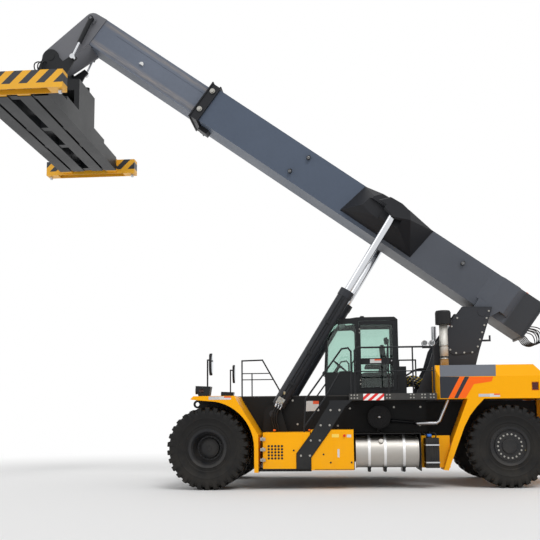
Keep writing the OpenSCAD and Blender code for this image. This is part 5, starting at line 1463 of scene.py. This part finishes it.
class STACKER_OT_lamps(StackerStep, bpy.types.Operator):
    """Adds mirror heads, lamp glasses and the boom's small fittings"""

    bl_idname = "stacker.lamps"
    bl_label = "Lamps and mirrors"

    def execute(self, context):
        for side, word in NAMED_SIDES:
            self.mirror(side, word)
            shape, lamp = Shape(), (0.262, side * 1.815, 1.98)
            shape.turned(dome(0.05, 0.07, 0.012, 0.009, 0.002), lamp, AHEAD, "lens", 32)
            shape.turned(ring(0.07, 0.08, 0, 0.012), lamp, AHEAD, "steel", 32)
            shape.finish("front_lens_" + word, "chassis")
        shape = Shape()
        for x in (-4.605, -4.455):
            lamp = (x, 0, 2.955)
            shape.turned(dome(0.03, 0.05, 0.982, 0.980, 0.972, 0.97), lamp, LEFT, "lens", 28)
            shape.turned(ring(0.05, 0.064, 0.965, 0.982), lamp, LEFT, "steel", 28)
        shape.finish("work_lamp_lenses", "chassis")
        shape = Shape(BOOM)
        for a, b in BOOM_LAMPS:
            for side in SIDES:
                lens = dome(0.025, 0.037, *(side * y for y in (0.532, 0.531, 0.526, 0.52)))
                shape.turned(lens, (a, 0, b), LEFT, "lens", 24)
        shape.turned(dome(0.035, 0.058, 0.112, 0.108, 0.085), (-0.615, 0, 0.945), UP, "accent", 28)
        shape.finish("boom_lenses", "boom_outer")
        shape = Shape(BOOM)
        marker = [(9.60, 0.42), (9.72, 0.42), (9.70, 0.475), (9.66, 0.50), (9.62, 0.475)]
        shape.slab([(a, 0.383, b) for a, b in marker], (0, 0.035, 0), "blank")
        shape.finish("boom_marker", "boom_inner", bevel=0.004)
        return {"FINISHED"}

    def mirror(self, side, word):
        """Head and face of one mirror."""
        shape = Shape()
        for x, depth, wide, high, finish in MIRROR_SLABS:
            oval = [(x, side * MIRROR_Y + wide * c, MIRROR_Z + high * s) for c, s in around(40)]
            shape.slab(oval, (depth, 0, 0), finish)
        shape.finish("mirror_head_" + word, "chassis", bevel=0.002)


STEPS = [
    STACKER_OT_finishes,
    STACKER_OT_stage,
    STACKER_OT_tyres,
    STACKER_OT_wheel_nuts,
    STACKER_OT_graphics,
    STACKER_OT_plates,
    STACKER_OT_frame_bolts,
    STACKER_OT_hoses,
    STACKER_OT_plant,
    STACKER_OT_cab_trim,
    STACKER_OT_seat,
    STACKER_OT_lamps,
]


class STACKER_PT_looks(bpy.types.Panel):
    """Sizes, colours and the steps that build the looks"""

    bl_idname = "STACKER_PT_looks"
    bl_label = "Reach Stacker"
    bl_space_type = "VIEW_3D"
    bl_region_type = "UI"
    bl_category = "Reach Stacker"

    def draw(self, context):
        """Lists the settings and the operators."""
        for settings in (context.scene.stacker_colours, context.scene.stacker_sizes):
            box = self.layout.box()
            for key in settings.__annotations__:
                box.prop(settings, key)
        for step in STEPS:
            self.layout.operator(step.bl_idname)


CLASSES = [StackerColours, StackerSizes, *STEPS, STACKER_PT_looks]


def register():
    """Registers the classes and the scene's settings."""
    for each in CLASSES:
        bpy.utils.register_class(each)
    bpy.types.Scene.stacker_colours = PointerProperty(type=StackerColours)
    bpy.types.Scene.stacker_sizes = PointerProperty(type=StackerSizes)


def unregister():
    """Takes the classes and settings away again."""
    del bpy.types.Scene.stacker_sizes
    del bpy.types.Scene.stacker_colours
    for each in reversed(CLASSES):
        bpy.utils.unregister_class(each)


def main():
    """Builds everything."""
    register()
    for step in STEPS:
        name = step.bl_idname.split(".")[1]
        getattr(bpy.ops.stacker, name)()


if __name__ == "__main__":
    main()
